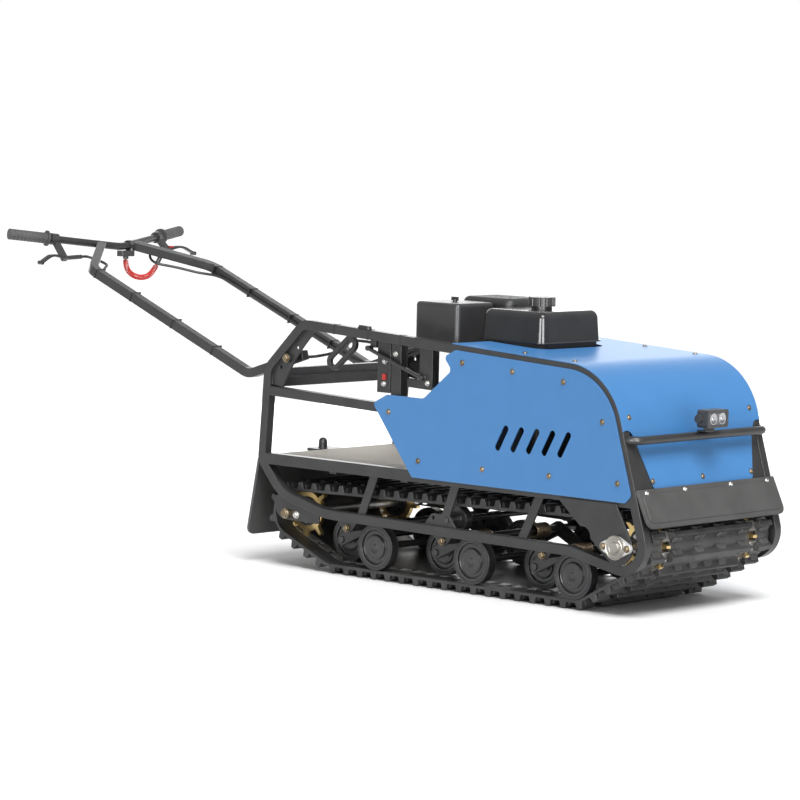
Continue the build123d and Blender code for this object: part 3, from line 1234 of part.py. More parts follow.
# side, rest of the route
RAIL_ROUTES = [
    (-1, [(230.0, CABLE_STOP[1], CABLE_STOP[2] + 3), (CABLE_STOP[0] - FIT, CABLE_STOP[1], CABLE_STOP[2])]),
    (
        1,
        [
            (235.0, RAIL_CABLE_Y - 4, PIVOT_HEIGHT + 66),
            (310.0, RAIL_CABLE_Y, PIVOT_HEIGHT + 64),
            (400.0, RAIL_CABLE_Y - 3, PIVOT_HEIGHT + 56),
            (PORT_END[0] - 18, PORT_END[1] + 92, PORT_END[2] + 8),
            (PORT_END[0], PORT_END[1] + 60, PORT_END[2]),
            PORT_END,
        ],
    ),
]
with BuildPart() as frame_cables:
    for side, rest in RAIL_ROUTES:
        route = [(x, side * y, z) for x, y, z in CABLE_START + rest]
        tube_along(route, widest_bends(route), CABLE_R)
save(frame_cables, "frame_cables")
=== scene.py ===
import json
from math import cos, pi, radians, sin
import bpy
import numpy as np
from mathutils import Matrix, Vector


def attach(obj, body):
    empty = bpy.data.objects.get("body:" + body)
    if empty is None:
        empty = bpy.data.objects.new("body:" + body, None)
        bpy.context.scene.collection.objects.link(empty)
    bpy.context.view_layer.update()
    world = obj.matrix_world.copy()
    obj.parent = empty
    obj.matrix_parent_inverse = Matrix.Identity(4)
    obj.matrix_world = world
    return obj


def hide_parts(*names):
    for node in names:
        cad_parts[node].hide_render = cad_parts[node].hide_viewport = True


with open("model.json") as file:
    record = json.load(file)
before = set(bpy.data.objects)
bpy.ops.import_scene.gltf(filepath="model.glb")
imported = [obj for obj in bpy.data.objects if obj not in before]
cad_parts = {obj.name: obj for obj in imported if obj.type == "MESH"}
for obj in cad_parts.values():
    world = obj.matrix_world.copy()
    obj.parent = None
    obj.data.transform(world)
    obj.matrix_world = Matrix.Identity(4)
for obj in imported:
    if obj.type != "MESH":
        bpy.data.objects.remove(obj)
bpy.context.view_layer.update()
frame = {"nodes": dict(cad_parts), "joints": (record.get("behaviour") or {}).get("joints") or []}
scene = bpy.context.scene

# Studio camera: a long lens a little above the hood, looking back along the tug from its right
# front corner. The turn, lift and roll are degrees, and the focal length is in image pixels.
VIEW_TURN = 42.376
VIEW_LIFT = 5.090
VIEW_ROLL = 1.368
IMAGE_PX = 800
FOCAL_PX = 3473.85
AXIS_DROP_PX = 8.5
CAMERA_DISTANCE = 9.5303
CAMERA_AIM = Vector((0.0741, 0.0, 0.4355))
CAMERA_REACH = 100.0
SENSOR_MM = 36.0
turn, lift, roll = radians(VIEW_TURN), radians(VIEW_LIFT), radians(VIEW_ROLL)
back = Vector((sin(turn) * cos(lift), -cos(turn) * cos(lift), sin(lift)))
level = Vector((cos(turn), sin(turn), 0.0))
upright = back.cross(level)
right = level * cos(roll) + upright * sin(roll)
up = upright * cos(roll) - level * sin(roll)
camera = bpy.data.objects.new("camera", bpy.data.cameras.new("camera"))
camera.data.sensor_width = SENSOR_MM
camera.data.lens = SENSOR_MM * FOCAL_PX / IMAGE_PX
camera.data.shift_y = AXIS_DROP_PX / IMAGE_PX
camera.data.clip_end = CAMERA_REACH
turned = Matrix((right, up, back)).transposed().to_4x4()
camera.matrix_world = Matrix.Translation(CAMERA_AIM + back * CAMERA_DISTANCE) @ turned
scene.collection.objects.link(camera)
scene.camera = camera
scene.view_settings.view_transform = "Standard"

# Curly tether of the stop switch: a red plastic wire wound in a close coil, hanging from the switch
# to a lug on the handle's cross bar. Its route is the same list of points as in the part.
PER_METRE = 1000.0
EDGE_SAMPLES = 6


class Wire:
    """A socket of a node tree that takes part in sums, each of which adds a Math node."""

    def __init__(self, nodes, socket):
        self.nodes = nodes
        self.socket = socket

    def maths(self, operation, first, second=0.0):
        return self.nodes.node("ShaderNodeMath", {"operation": operation}, {0: first, 1: second})

    def __add__(self, other):
        return self.maths("ADD", self, other)

    def __radd__(self, other):
        return self.maths("ADD", other, self)

    def __sub__(self, other):
        return self.maths("SUBTRACT", self, other)

    def __rsub__(self, other):
        return self.maths("SUBTRACT", other, self)

    def __mul__(self, other):
        return self.maths("MULTIPLY", self, other)

    def __rmul__(self, other):
        return self.maths("MULTIPLY", other, self)

    def sine(self):
        return self.maths("SINE", self)


class Nodes:
    """A node tree whose nodes are all made by one call."""

    def __init__(self, tree):
        self.tree = tree

    def feed(self, made, sockets):
        """Links a wire to each named socket, or sets the socket's own value."""
        for key, value in sockets.items():
            if isinstance(value, Wire):
                self.tree.links.new(value.socket, made.inputs[key])
            elif made.inputs[key].type == "RGBA":
                made.inputs[key].default_value = (*value, 1.0)
            else:
                made.inputs[key].default_value = value

    def node(self, kind, settings, sockets, output=0):
        """Adds a node, sets its settings and then its sockets, and returns one of its outputs."""
        made = self.tree.nodes.new(kind)
        for key, value in settings.items():
            setattr(made, key, value)
        self.feed(made, sockets)
        return Wire(self, made.outputs[output])


class Finish(Nodes):
    """A procedural material on one Principled shader, with the few patterns that the tug needs."""

    def __init__(self, name, **sockets):
        self.material = bpy.data.materials.new(name)
        self.material.use_nodes = True
        super().__init__(self.material.node_tree)
        self.shade({key.replace("_", " "): value for key, value in sockets.items()})

    def shade(self, sockets):
        self.feed(self.tree.nodes["Principled BSDF"], sockets)

    def place(self):
        return self.node("ShaderNodeTexCoord", {}, {}, "Object")

    def noise(self, size):
        """Noise from 0 to 1 with features of about that size in mm."""
        return self.node("ShaderNodeTexNoise", {}, {"Vector": self.place(), "Scale": PER_METRE / size})

    def ramp(self, value, low, high):
        """0 below low, 1 above high and smooth between them."""
        smooth = {"interpolation_type": "SMOOTHSTEP"}
        return self.node("ShaderNodeMapRange", smooth, {0: value, 1: low, 2: high})

    def blend(self, factor, low, high):
        """The colour that goes from low to high with the factor, by a Mix node's colour sockets, 6 and 7."""
        return self.node("ShaderNodeMix", {"data_type": "RGBA"}, {0: factor, 6: low, 7: high}, 2)

    def bump(self, height, depth, edge):
        """A normal for a height from 0 to 1 of that depth in mm, with edges rounded to a radius in mm."""
        rounded = self.node("ShaderNodeBevel", {"samples": EDGE_SAMPLES}, {"Radius": edge / PER_METRE})
        sockets = {"Distance": depth / PER_METRE, "Height": height, "Normal": rounded}
        return self.node("ShaderNodeBump", {}, sockets)


DRIFT_SIZE = 70.0
DRIFT_BAND = (0.3, 0.7)
GLOSS_SWING = 0.12


def grained(name, dark, light, roughness, grain, depth, metallic=0.0, edge=0.6):
    """A finish that drifts between two colours, with a fine grain and soft edges, sizes in mm."""
    finish = Finish(name, Metallic=metallic)
    drift = finish.ramp(finish.noise(DRIFT_SIZE), *DRIFT_BAND)
    fine = finish.noise(grain)
    finish.shade({"Base Color": finish.blend(drift, dark, light)})
    finish.shade({"Roughness": roughness + GLOSS_SWING * (fine - 0.5), "Normal": finish.bump(fine, depth, edge)})
    return finish


def metres(points):
    """Points as station ahead of the rear axle, y and height in mm, moved into the frame's metres."""
    return np.asarray(points, float) / PER_METRE + (frame["joints"][0]["pos_m"][0], 0.0, 0.0)


def nurbs(name, points):
    """A curve object with one quadratic NURBS spline from the first point to the last."""
    curve = bpy.data.curves.new(name, "CURVE")
    curve.dimensions = "3D"
    spline = curve.splines.new("NURBS")
    spline.points.add(len(points) - 1)
    spline.points.foreach_set("co", np.column_stack([points, np.ones(len(points))]).ravel())
    spline.order_u = 3
    spline.use_endpoint_u = True
    return bpy.data.objects.new(name, curve)


def read_line(piece):
    """Points along a curve with no bevel, and the distance of each from its start."""
    mesh = bpy.data.meshes.new_from_object(piece)
    points = np.empty(3 * len(mesh.vertices))
    mesh.vertices.foreach_get("co", points)
    bpy.data.meshes.remove(mesh)
    points = points.reshape(-1, 3)
    steps = np.linalg.norm(np.diff(points, axis=0), axis=1)
    return points, np.concatenate([[0.0], np.cumsum(steps)])


TETHER = [
    (-966, 20, 791),
    (-966, 20, 765),
    (-957, 40, 741),
    (-946, 73, 734),
    (-938, 101, 747),
    (-933, 114.5, 774),
]
COIL_R = 0.0074
COIL_TURNS = 36
COIL_STEPS = 12
WIRE_R = 0.0016
route = nurbs("tether_route", metres(TETHER))
line, run = read_line(route)
bpy.data.objects.remove(route)
along = np.linspace(0.0, run[-1], COIL_TURNS * COIL_STEPS + 1)
middle = np.column_stack([np.interp(along, run, line[:, k]) for k in range(3)])
ahead = np.gradient(middle, axis=0)
ahead /= np.linalg.norm(ahead, axis=1, keepdims=True)
aside = np.cross(ahead, (1.0, 0.0, 0.0))
aside /= np.linalg.norm(aside, axis=1, keepdims=True)
# The wire circles the route at the coil's radius, which opens from nothing over the turn at each end
opened = np.clip(np.minimum(along, run[-1] - along) / (run[-1] / COIL_TURNS), 0.0, 1.0)
phase = 2 * pi * COIL_TURNS * along / run[-1]
reach = COIL_R * opened
helix = middle + (reach * np.cos(phase))[:, None] * aside
helix = helix + (reach * np.sin(phase))[:, None] * np.cross(aside, ahead)
tether = nurbs("tether_cord", helix)
tether.data.resolution_u = 2
wire_length = read_line(tether)[1][-1]
tether.data.bevel_depth = WIRE_R
tether.data.bevel_resolution = 2
scene.collection.objects.link(tether)
tether_red = grained(
    "tether_red", (0.55, 0.022, 0.015), (0.68, 0.034, 0.022), roughness=0.38, grain=4.0, depth=0.02
)
tether.data.materials.append(tether_red.material)
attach(tether, "handle")
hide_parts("tether")

# Studio: a pale floor under a soft overhead light, in a room that shows white and lights the tug less,
# so that the floor comes out white and keeps the shadow. A panel behind the tug draws bright rims, and
# two softboxes beside the camera draw streaks in what is glossy.
FLOOR_HALF = 30.0
FLOOR_Z = -0.0005
ROOM_LIGHT = 0.40
KEY_LIGHT = 3.0
KEY_SPREAD = 30.0
KEY_FROM = Vector((0.43, -0.27, 0.86))
# Upright lights: name, turn from the camera in degrees, width and height, distance, watts, streaks only
BOXES = [
    ("panel", 180.0, (9.0, 3.0), 5.0, 210.0, False),
    ("softbox_left", -17.0, (3.6, 6.0), 10.0, 1000.0, True),
    ("softbox_right", 17.0, (3.6, 6.0), 10.0, 1000.0, True),
]
world = bpy.data.worlds.new("studio")
world.use_nodes = True
scene.world = world
room = Nodes(world.node_tree)
shown = room.node("ShaderNodeLightPath", {}, {}, "Is Camera Ray")
background = world.node_tree.nodes["Background"]
room.feed(background, {"Color": (1.0, 1.0, 1.0), "Strength": ROOM_LIGHT + (1.0 - ROOM_LIGHT) * shown})
floor_mesh = bpy.data.meshes.new("floor")
corners = FLOOR_HALF * np.array([(-1, -1), (1, -1), (1, 1), (-1, 1)])
floor_mesh.from_pydata(np.column_stack([corners, np.full(4, FLOOR_Z)]).tolist(), [], [(0, 1, 2, 3)])
floor = bpy.data.objects.new("floor", floor_mesh)
scene.collection.objects.link(floor)
paper = Finish("paper", Base_Color=(0.92, 0.92, 0.92), Roughness=1.0, Specular_IOR_Level=0.0)
floor_mesh.materials.append(paper.material)
key = bpy.data.objects.new("key", bpy.data.lights.new("key", "SUN"))
key.data.energy = KEY_LIGHT
key.data.angle = radians(KEY_SPREAD)
key.rotation_euler = KEY_FROM.to_track_quat("Z", "Y").to_euler()
scene.collection.objects.link(key)
for name, step, size, away, watts, streaks_only in BOXES:
    box = bpy.data.objects.new(name, bpy.data.lights.new(name, "AREA"))
    box.data.shape = "RECTANGLE"
    box.data.size, box.data.size_y = size
    box.data.energy = watts
    swung = turn + radians(step)
    towards = Vector((sin(swung), -cos(swung), 0.0))
    box.location = towards * away + Vector((0.0, 0.0, size[1] / 2))
    box.rotation_euler = towards.to_track_quat("Z", "Y").to_euler()
    box.visible_diffuse = not streaks_only
    scene.collection.objects.link(box)


# Track: one moulded rubber loop with cross lugs, its windows driven by the sprockets. The rubber is
# black and a little glossy, so that the edges of the lugs catch the light.
def dress(finish, *nodes):
    """Puts a finish on CAD nodes."""
    for node in nodes:
        slots = frame["nodes"][node].data.materials
        slots.clear()
        slots.append(finish.material)


rubber = grained(
    "track_rubber", (0.030, 0.030, 0.031), (0.060, 0.060, 0.060), roughness=0.42, grain=5.0, depth=0.15, edge=3.0
)
dress(rubber, "track")


# Guide clips: pressed steel sleeves on the bars between the track's windows, where the sprocket
# teeth bear. They follow the belt's path round both sprockets and the end wheels.
def lathe(profile, sides, phase=0.0):
    """Points and faces of a profile of radius and height turned round the third axis, both ends closed."""
    radius, height = np.asarray(profile, float).T
    angle = (np.arange(sides) + phase) * 2 * pi / sides
    rows = [np.outer(radius, np.cos(angle)), np.outer(radius, np.sin(angle)), np.tile(height[:, None], sides)]
    index = np.arange(radius.size * sides).reshape(-1, sides)
    onward = np.roll(index, -1, axis=1)
    walls = np.stack([index[:-1], onward[:-1], onward[1:], index[1:]], -1).reshape(-1, 4)
    return np.stack(rows, -1).reshape(-1, 3), [walls, index[:1, ::-1], index[-1:]]


def block(size, tip=1.0, sunk=0.5):
    """A four-sided block of a size in mm that narrows to its tip, with a share of its height below zero."""
    half_diagonal = 0.5**0.5
    points, faces = lathe([(half_diagonal, -sunk), (tip * half_diagonal, 1.0 - sunk)], 4, 0.5)
    return points * np.array(size), faces


def copies(shape, origins, axes):
    """A shape in mm set at each origin in metres, its x, y and z along the rows of that origin's axes."""
    points, faces = shape
    origins = np.asarray(origins, float)
    placed = origins[:, None] + np.einsum("pk,nkd->npd", points / PER_METRE, axes)
    shifts = len(points) * np.arange(len(origins))[:, None, None]
    return placed.reshape(-1, 3), [(group + shifts).reshape(-1, group.shape[1]) for group in faces]


SHARP_EDGE = 30.0


def piece(name, shape, finish, slot, body):
    """A mesh object from a shape in metres, smooth except at its sharp edges, on one body."""
    points, faces = shape
    mesh = bpy.data.meshes.new(name)
    mesh.from_pydata(points.tolist(), [], [face for group in faces for face in group.tolist()])
    mesh.shade_smooth()
    mesh.set_sharp_from_angle(angle=radians(SHARP_EDGE))
    mesh.materials.append(finish.material)
    made = bpy.data.objects.new(name, mesh)
    scene.collection.objects.link(made)
    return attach(made, body)


LINK_PITCH = 50.5
BELT = 8.0
WINDOW_Y = 180.0
CLIP_SIZE = (26.9, 28.0, 10.8)
# Wrapped circles, in the order of the belt: station, height, radius inside the belt
WRAPS = np.array([(0.0, 150.0, 60.3), (148.0, 87.8, 62.3), (1001.0, 87.8, 62.3), (1172.0, 180.0, 60.3)])
FRONT_WRAP = 3
# The belt's middle line turns round each circle and runs straight to the next, where it meets both
# circles square to their radii. Stretches of it go arc, run, arc, run.
centres, radii = WRAPS[:, :2], WRAPS[:, 2] + BELT / 2
gaps = np.roll(centres, -1, axis=0) - centres
spans = np.hypot(gaps[:, 0], gaps[:, 1])
narrowing = (np.roll(radii, -1) - radii) / spans
leave = np.unwrap(np.arctan2(gaps[:, 1], gaps[:, 0]) - np.arcsin(narrowing)) % (2 * pi)
enter = np.roll(leave, 1)
arcs = (leave - enter) % (2 * pi) * radii
runs = spans * np.sqrt(1.0 - narrowing**2)
starts = np.concatenate([[0.0], np.cumsum(np.column_stack([arcs, runs]).ravel())])
links = round(starts[-1] / LINK_PITCH)
# A window faces straight ahead on the front sprocket, and the bars are half way between windows
ahead_window = starts[2 * FRONT_WRAP] + (pi / 2 - enter[FRONT_WRAP]) * radii[FRONT_WRAP]
distance = (ahead_window + (np.arange(links) + 0.5) * starts[-1] / links) % starts[-1]
stretch = np.searchsorted(starts, distance, side="right") - 1
wrap, on_arc = stretch // 2, stretch % 2 == 0
past = distance - starts[stretch]
heading = np.where(on_arc, enter[wrap] + past / radii[wrap], leave[wrap])
straight = np.where(on_arc, 0.0, past)
forward = np.column_stack([np.cos(heading), np.sin(heading)])
outward = np.column_stack([np.sin(heading), -np.cos(heading)])
spot = centres[wrap] + radii[wrap, None] * outward + straight[:, None] * forward
clip_axes = np.zeros((2 * links, 3, 3))
clip_axes[:, 0, ::2] = np.tile(forward, (2, 1))
clip_axes[:, 1, 1] = 1.0
clip_axes[:, 2, ::2] = -np.tile(outward, (2, 1))
clip_y = np.repeat((-WINDOW_Y, WINDOW_Y), links)
clip_origins = metres(np.column_stack([np.tile(spot[:, 0], 2), clip_y, np.tile(spot[:, 1], 2)]))
steel = grained(
    "bright_steel", (0.52, 0.51, 0.49), (0.62, 0.61, 0.59), roughness=0.34, grain=2.0, depth=0.02, metallic=1.0
)
piece("track_clips", copies(block(CLIP_SIZE), clip_origins, clip_axes), steel, "bright_steel", "chassis")

# Lug blocks: stepped feet moulded on the cross lugs, staggered from one lug to the next, in the
# track's rubber painted a lighter grey as a painted highlight on the lug tips.
BLOCK_SIZE = (37.0, 34.0, 13.0)
BLOCK_TIP = 0.72
# Distances of a lug's blocks from the middle plane, on one lug and on the next
BLOCK_ROWS = np.array(
    [
        (-226.0, -138.0, -46.0, 46.0, 138.0, 226.0),
        (-226.0, -92.0, -30.0, 30.0, 92.0, 226.0),
    ]
)
block_y = BLOCK_ROWS[np.arange(links) % 2]
block_spot = (spot + (BELT / 4) * outward)[:, None, :].repeat(block_y.shape[1], axis=1)
block_places = np.stack([block_spot[..., 0], block_y, block_spot[..., 1]], -1).reshape(-1, 3)
# A block stands outwards where a clip stands inwards, so its first and third axes are turned round
block_axes = (clip_axes[:links] * np.array((-1.0, 1.0, -1.0))[:, None]).repeat(block_y.shape[1], axis=0)
# The blocks' lighter grey is a painted highlight on the lug tips, not a colour of the rubber.
lug_tip_highlight = grained(
    "track_lug_highlight", (0.050, 0.050, 0.050), (0.095, 0.094, 0.092), roughness=0.48, grain=5.0, depth=0.15, edge=2.0
)
blocks = copies(block(BLOCK_SIZE, BLOCK_TIP, sunk=0.0), metres(block_places), block_axes)
piece("lug_blocks", blocks, lug_tip_highlight, "track_rubber", "chassis")


# Drive: yellow-zinc sprocket rings on black hubs, on bright axles in plates and two-eared bearing
# flanges. Every joint is bolted, and the heads are on the outer faces.
def aimed(directions):
    """Axes for copies whose third axis points in each direction, the first being level or, if steep, across."""
    third = np.asarray(directions, float)
    third /= np.linalg.norm(third, axis=1, keepdims=True)
    steep = np.abs(third[:, 2:]) > 0.9
    helper = np.where(steep, (1.0, 0.0, 0.0), (0.0, 0.0, 1.0))
    first = np.cross(helper, third)
    first /= np.linalg.norm(first, axis=1, keepdims=True)
    return np.stack([first, np.cross(third, first), third], 1)


def joined(*shapes):
    """Several shapes as one."""
    offsets = np.cumsum([0] + [len(points) for points, _ in shapes])
    faces = [group + offset for (_, groups), offset in zip(shapes, offsets) for group in groups]
    return np.concatenate([points for points, _ in shapes]), faces


WASHER_REACH = 0.72
WASHER_SHARE = 0.2
WASHER_SIDES = 20
CROWN_START = 0.85
CROWN_REACH = 0.86


def hex_bolt(flat, height):
    """A six-sided head of that size across its flats on a round washer, in mm."""
    thick = WASHER_SHARE * height
    washer = lathe([(WASHER_REACH * flat, 0.0), (WASHER_REACH * flat, thick)], WASHER_SIDES)
    corner = flat / 3**0.5
    head = lathe([(corner, thick), (corner, CROWN_START * height), (CROWN_REACH * corner, height)], 6)
    return joined(washer, head)


def on_both_sides(points):
    """Points of the right side, and their mirror images on the left."""
    points = np.asarray(points, float)
    return metres(np.concatenate([points, points * (1, -1, 1)]))


RIGHTWARD = (0.0, -1.0, 0.0)
LEFTWARD = (0.0, 1.0, 0.0)


def outwards(count):
    """Axes for copies that face out of the right side and then the left, as many for each."""
    return aimed(np.repeat([RIGHTWARD, LEFTWARD], count, axis=0))


REAR_AXLE = (0.0, 150.0)
FRONT_AXLE = (1172.0, 180.0)
HUB_FACE = 191.0
HUB_CIRCLE = 26.0
HUB_BOLTS = 8
PLATE_FACE = 273.0
FLANGE_FACE = 298.0
FLANGE_EAR = 38.0
CLAMP_SPOT = (42.0, 149.0)
# Heads and nuts: size across the flats, height
HUB_HEAD = (10.0, 6.0)
EAR_HEAD = (13.0, 7.0)
AXLE_NUT = (21.0, 9.0)
CLAMP_HEAD = (14.0, 8.0)
TURNED_SIDES = 40
# Bearing in its flange: radius, height
BEARING = [(31, 0), (31, 2.4), (29, 3), (27, 1.4), (23, 1.4), (22, 2.8), (18, 2.8), (17, 1.6), (14, 1.6)]
BEARING += [(13, 4), (12.4, 5.2)]
zinc = grained(
    "zinc_yellow",
    (0.70, 0.49, 0.19),
    (0.88, 0.68, 0.34),
    roughness=0.32,
    grain=3.0,
    depth=0.04,
    metallic=1.0,
    edge=1.5,
)
hub_black = grained("hub_black", (0.028, 0.028, 0.030), (0.040, 0.040, 0.042), roughness=0.45, grain=2.0, depth=0.03)
bronze = grained(
    "screw_bronze", (0.17, 0.13, 0.08), (0.27, 0.22, 0.15), roughness=0.40, grain=2.0, depth=0.03, metallic=1.0
)
cast_bright = grained(
    "cast_bright",
    (0.80, 0.80, 0.79),
    (0.88, 0.88, 0.87),
    roughness=0.30,
    grain=1.6,
    depth=0.03,
    metallic=0.3,
    edge=2.0,
)
bearing_grey = grained(
    "bearing_grey", (0.30, 0.29, 0.26), (0.42, 0.40, 0.36), roughness=0.38, grain=2.0, depth=0.03, metallic=1.0
)
dress(zinc, "sprockets")
dress(hub_black, "sprocket_hubs")
dress(steel, "axles")
dress(cast_bright, "bearing_flanges")
hub_turn = 2 * pi * np.arange(HUB_BOLTS) / HUB_BOLTS
hub_ring = HUB_CIRCLE * np.column_stack([np.cos(hub_turn), np.sin(hub_turn)])
hub_spots = np.concatenate([hub_ring + axle for axle in (REAR_AXLE, FRONT_AXLE)])
hub_places = np.insert(hub_spots, 1, -HUB_FACE, axis=1)
hub_bolts = copies(hex_bolt(*HUB_HEAD), on_both_sides(hub_places), outwards(len(hub_places)))
piece("hub_bolts", hub_bolts, steel, "bright_steel", "chassis")
bearing_places = on_both_sides([(FRONT_AXLE[0], -FLANGE_FACE, FRONT_AXLE[1])])
bearings = copies(lathe(BEARING, TURNED_SIDES), bearing_places, outwards(1))
piece("bearings", bearings, bearing_grey, "bright_steel", "chassis")
ear_places = [(FRONT_AXLE[0] + step, -FLANGE_FACE, FRONT_AXLE[1]) for step in (-FLANGE_EAR, FLANGE_EAR)]
ear_bolts = copies(hex_bolt(*EAR_HEAD), on_both_sides(ear_places), outwards(len(ear_places)))
piece("flange_bolts", ear_bolts, bronze, "zinc_yellow", "chassis")
# The rear axle is drawn up in its slot: a nut on the axle's end and a clamp bolt ahead of it
nut_places = on_both_sides([(REAR_AXLE[0], -PLATE_FACE, REAR_AXLE[1])])
piece("axle_nuts", copies(hex_bolt(*AXLE_NUT), nut_places, outwards(1)), bronze, "zinc_yellow", "chassis")
clamp_places = on_both_sides([(CLAMP_SPOT[0], -PLATE_FACE, CLAMP_SPOT[1])])
piece("clamp_bolts", copies(hex_bolt(*CLAMP_HEAD), clamp_places, outwards(1)), steel, "bright_steel", "chassis")

# Running gear: moulded wheels in rubber rims on three sprung rocker arms, and two carrier rollers
# under the upper run. A dished cap with turned rings closes the outer face of each wheel.
BOGIES = (232.0, 574.5, 917.0)
WHEEL_STEP = 84.0
WHEEL_Z = 87.8
WEB_FACE = 7.0
# Wheels of one rocker arm: step from its pivot, distance from the middle plane
WHEEL_ROWS = ((-WHEEL_STEP, 160.0), (WHEEL_STEP, 240.0))
# Wheel cap: radius, height
CAP = [(46, 0), (46, 1.6), (44, 2.4), (42, 1.2), (34, 1.2), (33, 6.2), (31, 7.0), (28, 7.0), (27, 6.4)]
CAP += [(11, 6.6), (10, 6.2), (8, 6.2), (7, 7.0), (3, 7.2)]
PIVOT_Z = 132.0
PIVOT_END = 275.5
PIVOT_HEAD = (14.0, 8.0)
wheel_black = grained(
    "wheel_black", (0.042, 0.042, 0.043), (0.056, 0.056, 0.057), roughness=0.20, grain=9.0, depth=0.008, edge=2.0
)
rim_rubber = grained(
    "rim_rubber", (0.022, 0.022, 0.023), (0.032, 0.032, 0.033), roughness=0.36, grain=6.0, depth=0.015, edge=3.0
)
dress(wheel_black, "wheels_1", "wheels_2", "wheels_3", "carriers")
dress(rim_rubber, "wheel_rims")
cap_places = [(pivot + step, -y - WEB_FACE, WHEEL_Z) for pivot in BOGIES for step, y in WHEEL_ROWS]
caps = copies(lathe(CAP, TURNED_SIDES), on_both_sides(cap_places), outwards(len(cap_places)))
piece("wheel_caps", caps, wheel_black, "wheel_black", "chassis")
pivot_places = [(pivot, -PIVOT_END, PIVOT_Z) for pivot in BOGIES]
pivot_bolts = copies(hex_bolt(*PIVOT_HEAD), on_both_sides(pivot_places), outwards(len(BOGIES)))
piece("pivot_bolts", pivot_bolts, bronze, "zinc_yellow", "chassis")

# Torsion springs: six oiled steel coils on the rocker pivots, three a side, sleeved on the pivot
# shafts between the arms.
SPRING_Y = 120.0
SPRING_R = 17.5
SPRING_LENGTH = 62.0
SPRING_WIRE_R = 3.4
SPRING_TURNS = 8
SPRING_STEPS = 24
SPRING_SIDES = 8
spring_turn = np.linspace(0.0, 2 * pi * SPRING_TURNS, SPRING_TURNS * SPRING_STEPS + 1)[:, None]
round_wire = (2 * pi * np.arange(SPRING_SIDES) / SPRING_SIDES)[None]
# A tube round a helix: the wire's circle lies in the plane of the axis and the coil's radius
coil_reach = SPRING_R + SPRING_WIRE_R * np.cos(round_wire)
coil_rise = (SPRING_LENGTH - 2 * SPRING_WIRE_R) * (spring_turn / spring_turn[-1] - 0.5)
coil = np.stack(
    [
        coil_reach * np.cos(spring_turn),
        coil_reach * np.sin(spring_turn),
        coil_rise + SPRING_WIRE_R * np.sin(round_wire),
    ],
    -1,
)
ring_index = np.arange(coil.shape[0] * SPRING_SIDES).reshape(-1, SPRING_SIDES)
ring_next = np.roll(ring_index, -1, axis=1)
coil_walls = np.stack([ring_index[:-1], ring_index[1:], ring_next[1:], ring_next[:-1]], -1).reshape(-1, 4)
spring = (coil.reshape(-1, 3), [coil_walls, ring_index[:1], ring_index[-1:, ::-1]])
spring_places = on_both_sides([(pivot, -SPRING_Y, PIVOT_Z) for pivot in BOGIES])
spring_bronze = grained(
    "spring_steel", (0.20, 0.15, 0.10), (0.36, 0.28, 0.19), roughness=0.38, grain=4.0, depth=0.04, metallic=1.0
)
spring_coils = copies(spring, spring_places, outwards(len(BOGIES)))
springs = piece("spring_coils", spring_coils, spring_bronze, "spring_steel", "chassis")
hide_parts("springs")

# Frame: welded square tube and plate in satin black powder coat, with the tow hitch, the rocker arms
# and the engine's base plate in the same coat.
powder = grained(
    "frame_black", (0.030, 0.030, 0.031), (0.040, 0.040, 0.041), roughness=0.33, grain=1.6, depth=0.02, edge=3.0
)
dress(powder, "side_frame_left", "side_frame_right", "cross_members", "bumper", "tow_hitch", "bearing_plates")
dress(powder, "engine_plate", "bogie_1", "bogie_2", "bogie_3", "front_backing")

# Shift controls: a steel column, quadrant and hanger under the right top rail, in the frame's coat.
# Bright bolts hold them, and a red tab shows the parked gear.
CONTROL_FACE = 263.0
CONTROL_HEAD = (10.0, 6.0)
# Bolts of the controls: station, height
CONTROL_BOLTS = [(346, 588), (344, 528), (500, 540), (385, 610)]
TAB_SIZE = (11.0, 6.0, 15.0)
TAB_SPOT = (347, -CONTROL_FACE - 2.0, 547)
dress(powder, "control_group")
control_places = metres([(station, -CONTROL_FACE, height) for station, height in CONTROL_BOLTS])
control_bolts = copies(hex_bolt(*CONTROL_HEAD), control_places, aimed([RIGHTWARD] * len(CONTROL_BOLTS)))
piece("control_bolts", control_bolts, steel, "bright_steel", "chassis")
gear_tab = copies(block(TAB_SIZE), metres([TAB_SPOT]), np.eye(3)[None])
piece("gear_tab", gear_tab, tether_red, "tether_red", "chassis")

# Load deck: film-faced board with a pressed wire-mesh pattern against slipping, screwed to the frame.
# The mesh is the product of two sine waves that cross on the diagonals.
MESH_STEP = 0.022
MESH_SHADED_HOLLOW = (0.10, 0.09, 0.075)
MESH_LIGHT = (0.46, 0.43, 0.37)
MESH_DEPTH = 0.9
BOARD_EDGE = 1.0
BOARD_ROUGH = 0.72
MESH_POLISH = 0.14
board = Finish("deck_board")
along_deck = board.node("ShaderNodeSeparateXYZ", {}, {0: board.place()}, "X")
across_deck = board.node("ShaderNodeSeparateXYZ", {}, {0: board.place()}, "Y")
wave_a = ((along_deck + across_deck) * (2 * pi / MESH_STEP)).sine()
wave_b = ((along_deck - across_deck) * (2 * pi / MESH_STEP)).sine()
mesh_height = 0.5 + 0.5 * wave_a * wave_b
# The colour goes dark in the pressed hollows and light on the ridges: painted shade that follows the mesh's height.
board.shade({"Base Color": board.blend(mesh_height, MESH_SHADED_HOLLOW, MESH_LIGHT)})
board.shade({"Roughness": BOARD_ROUGH - MESH_POLISH * mesh_height})
board.shade({"Normal": board.bump(mesh_height, MESH_DEPTH, BOARD_EDGE)})
dress(board, "deck")

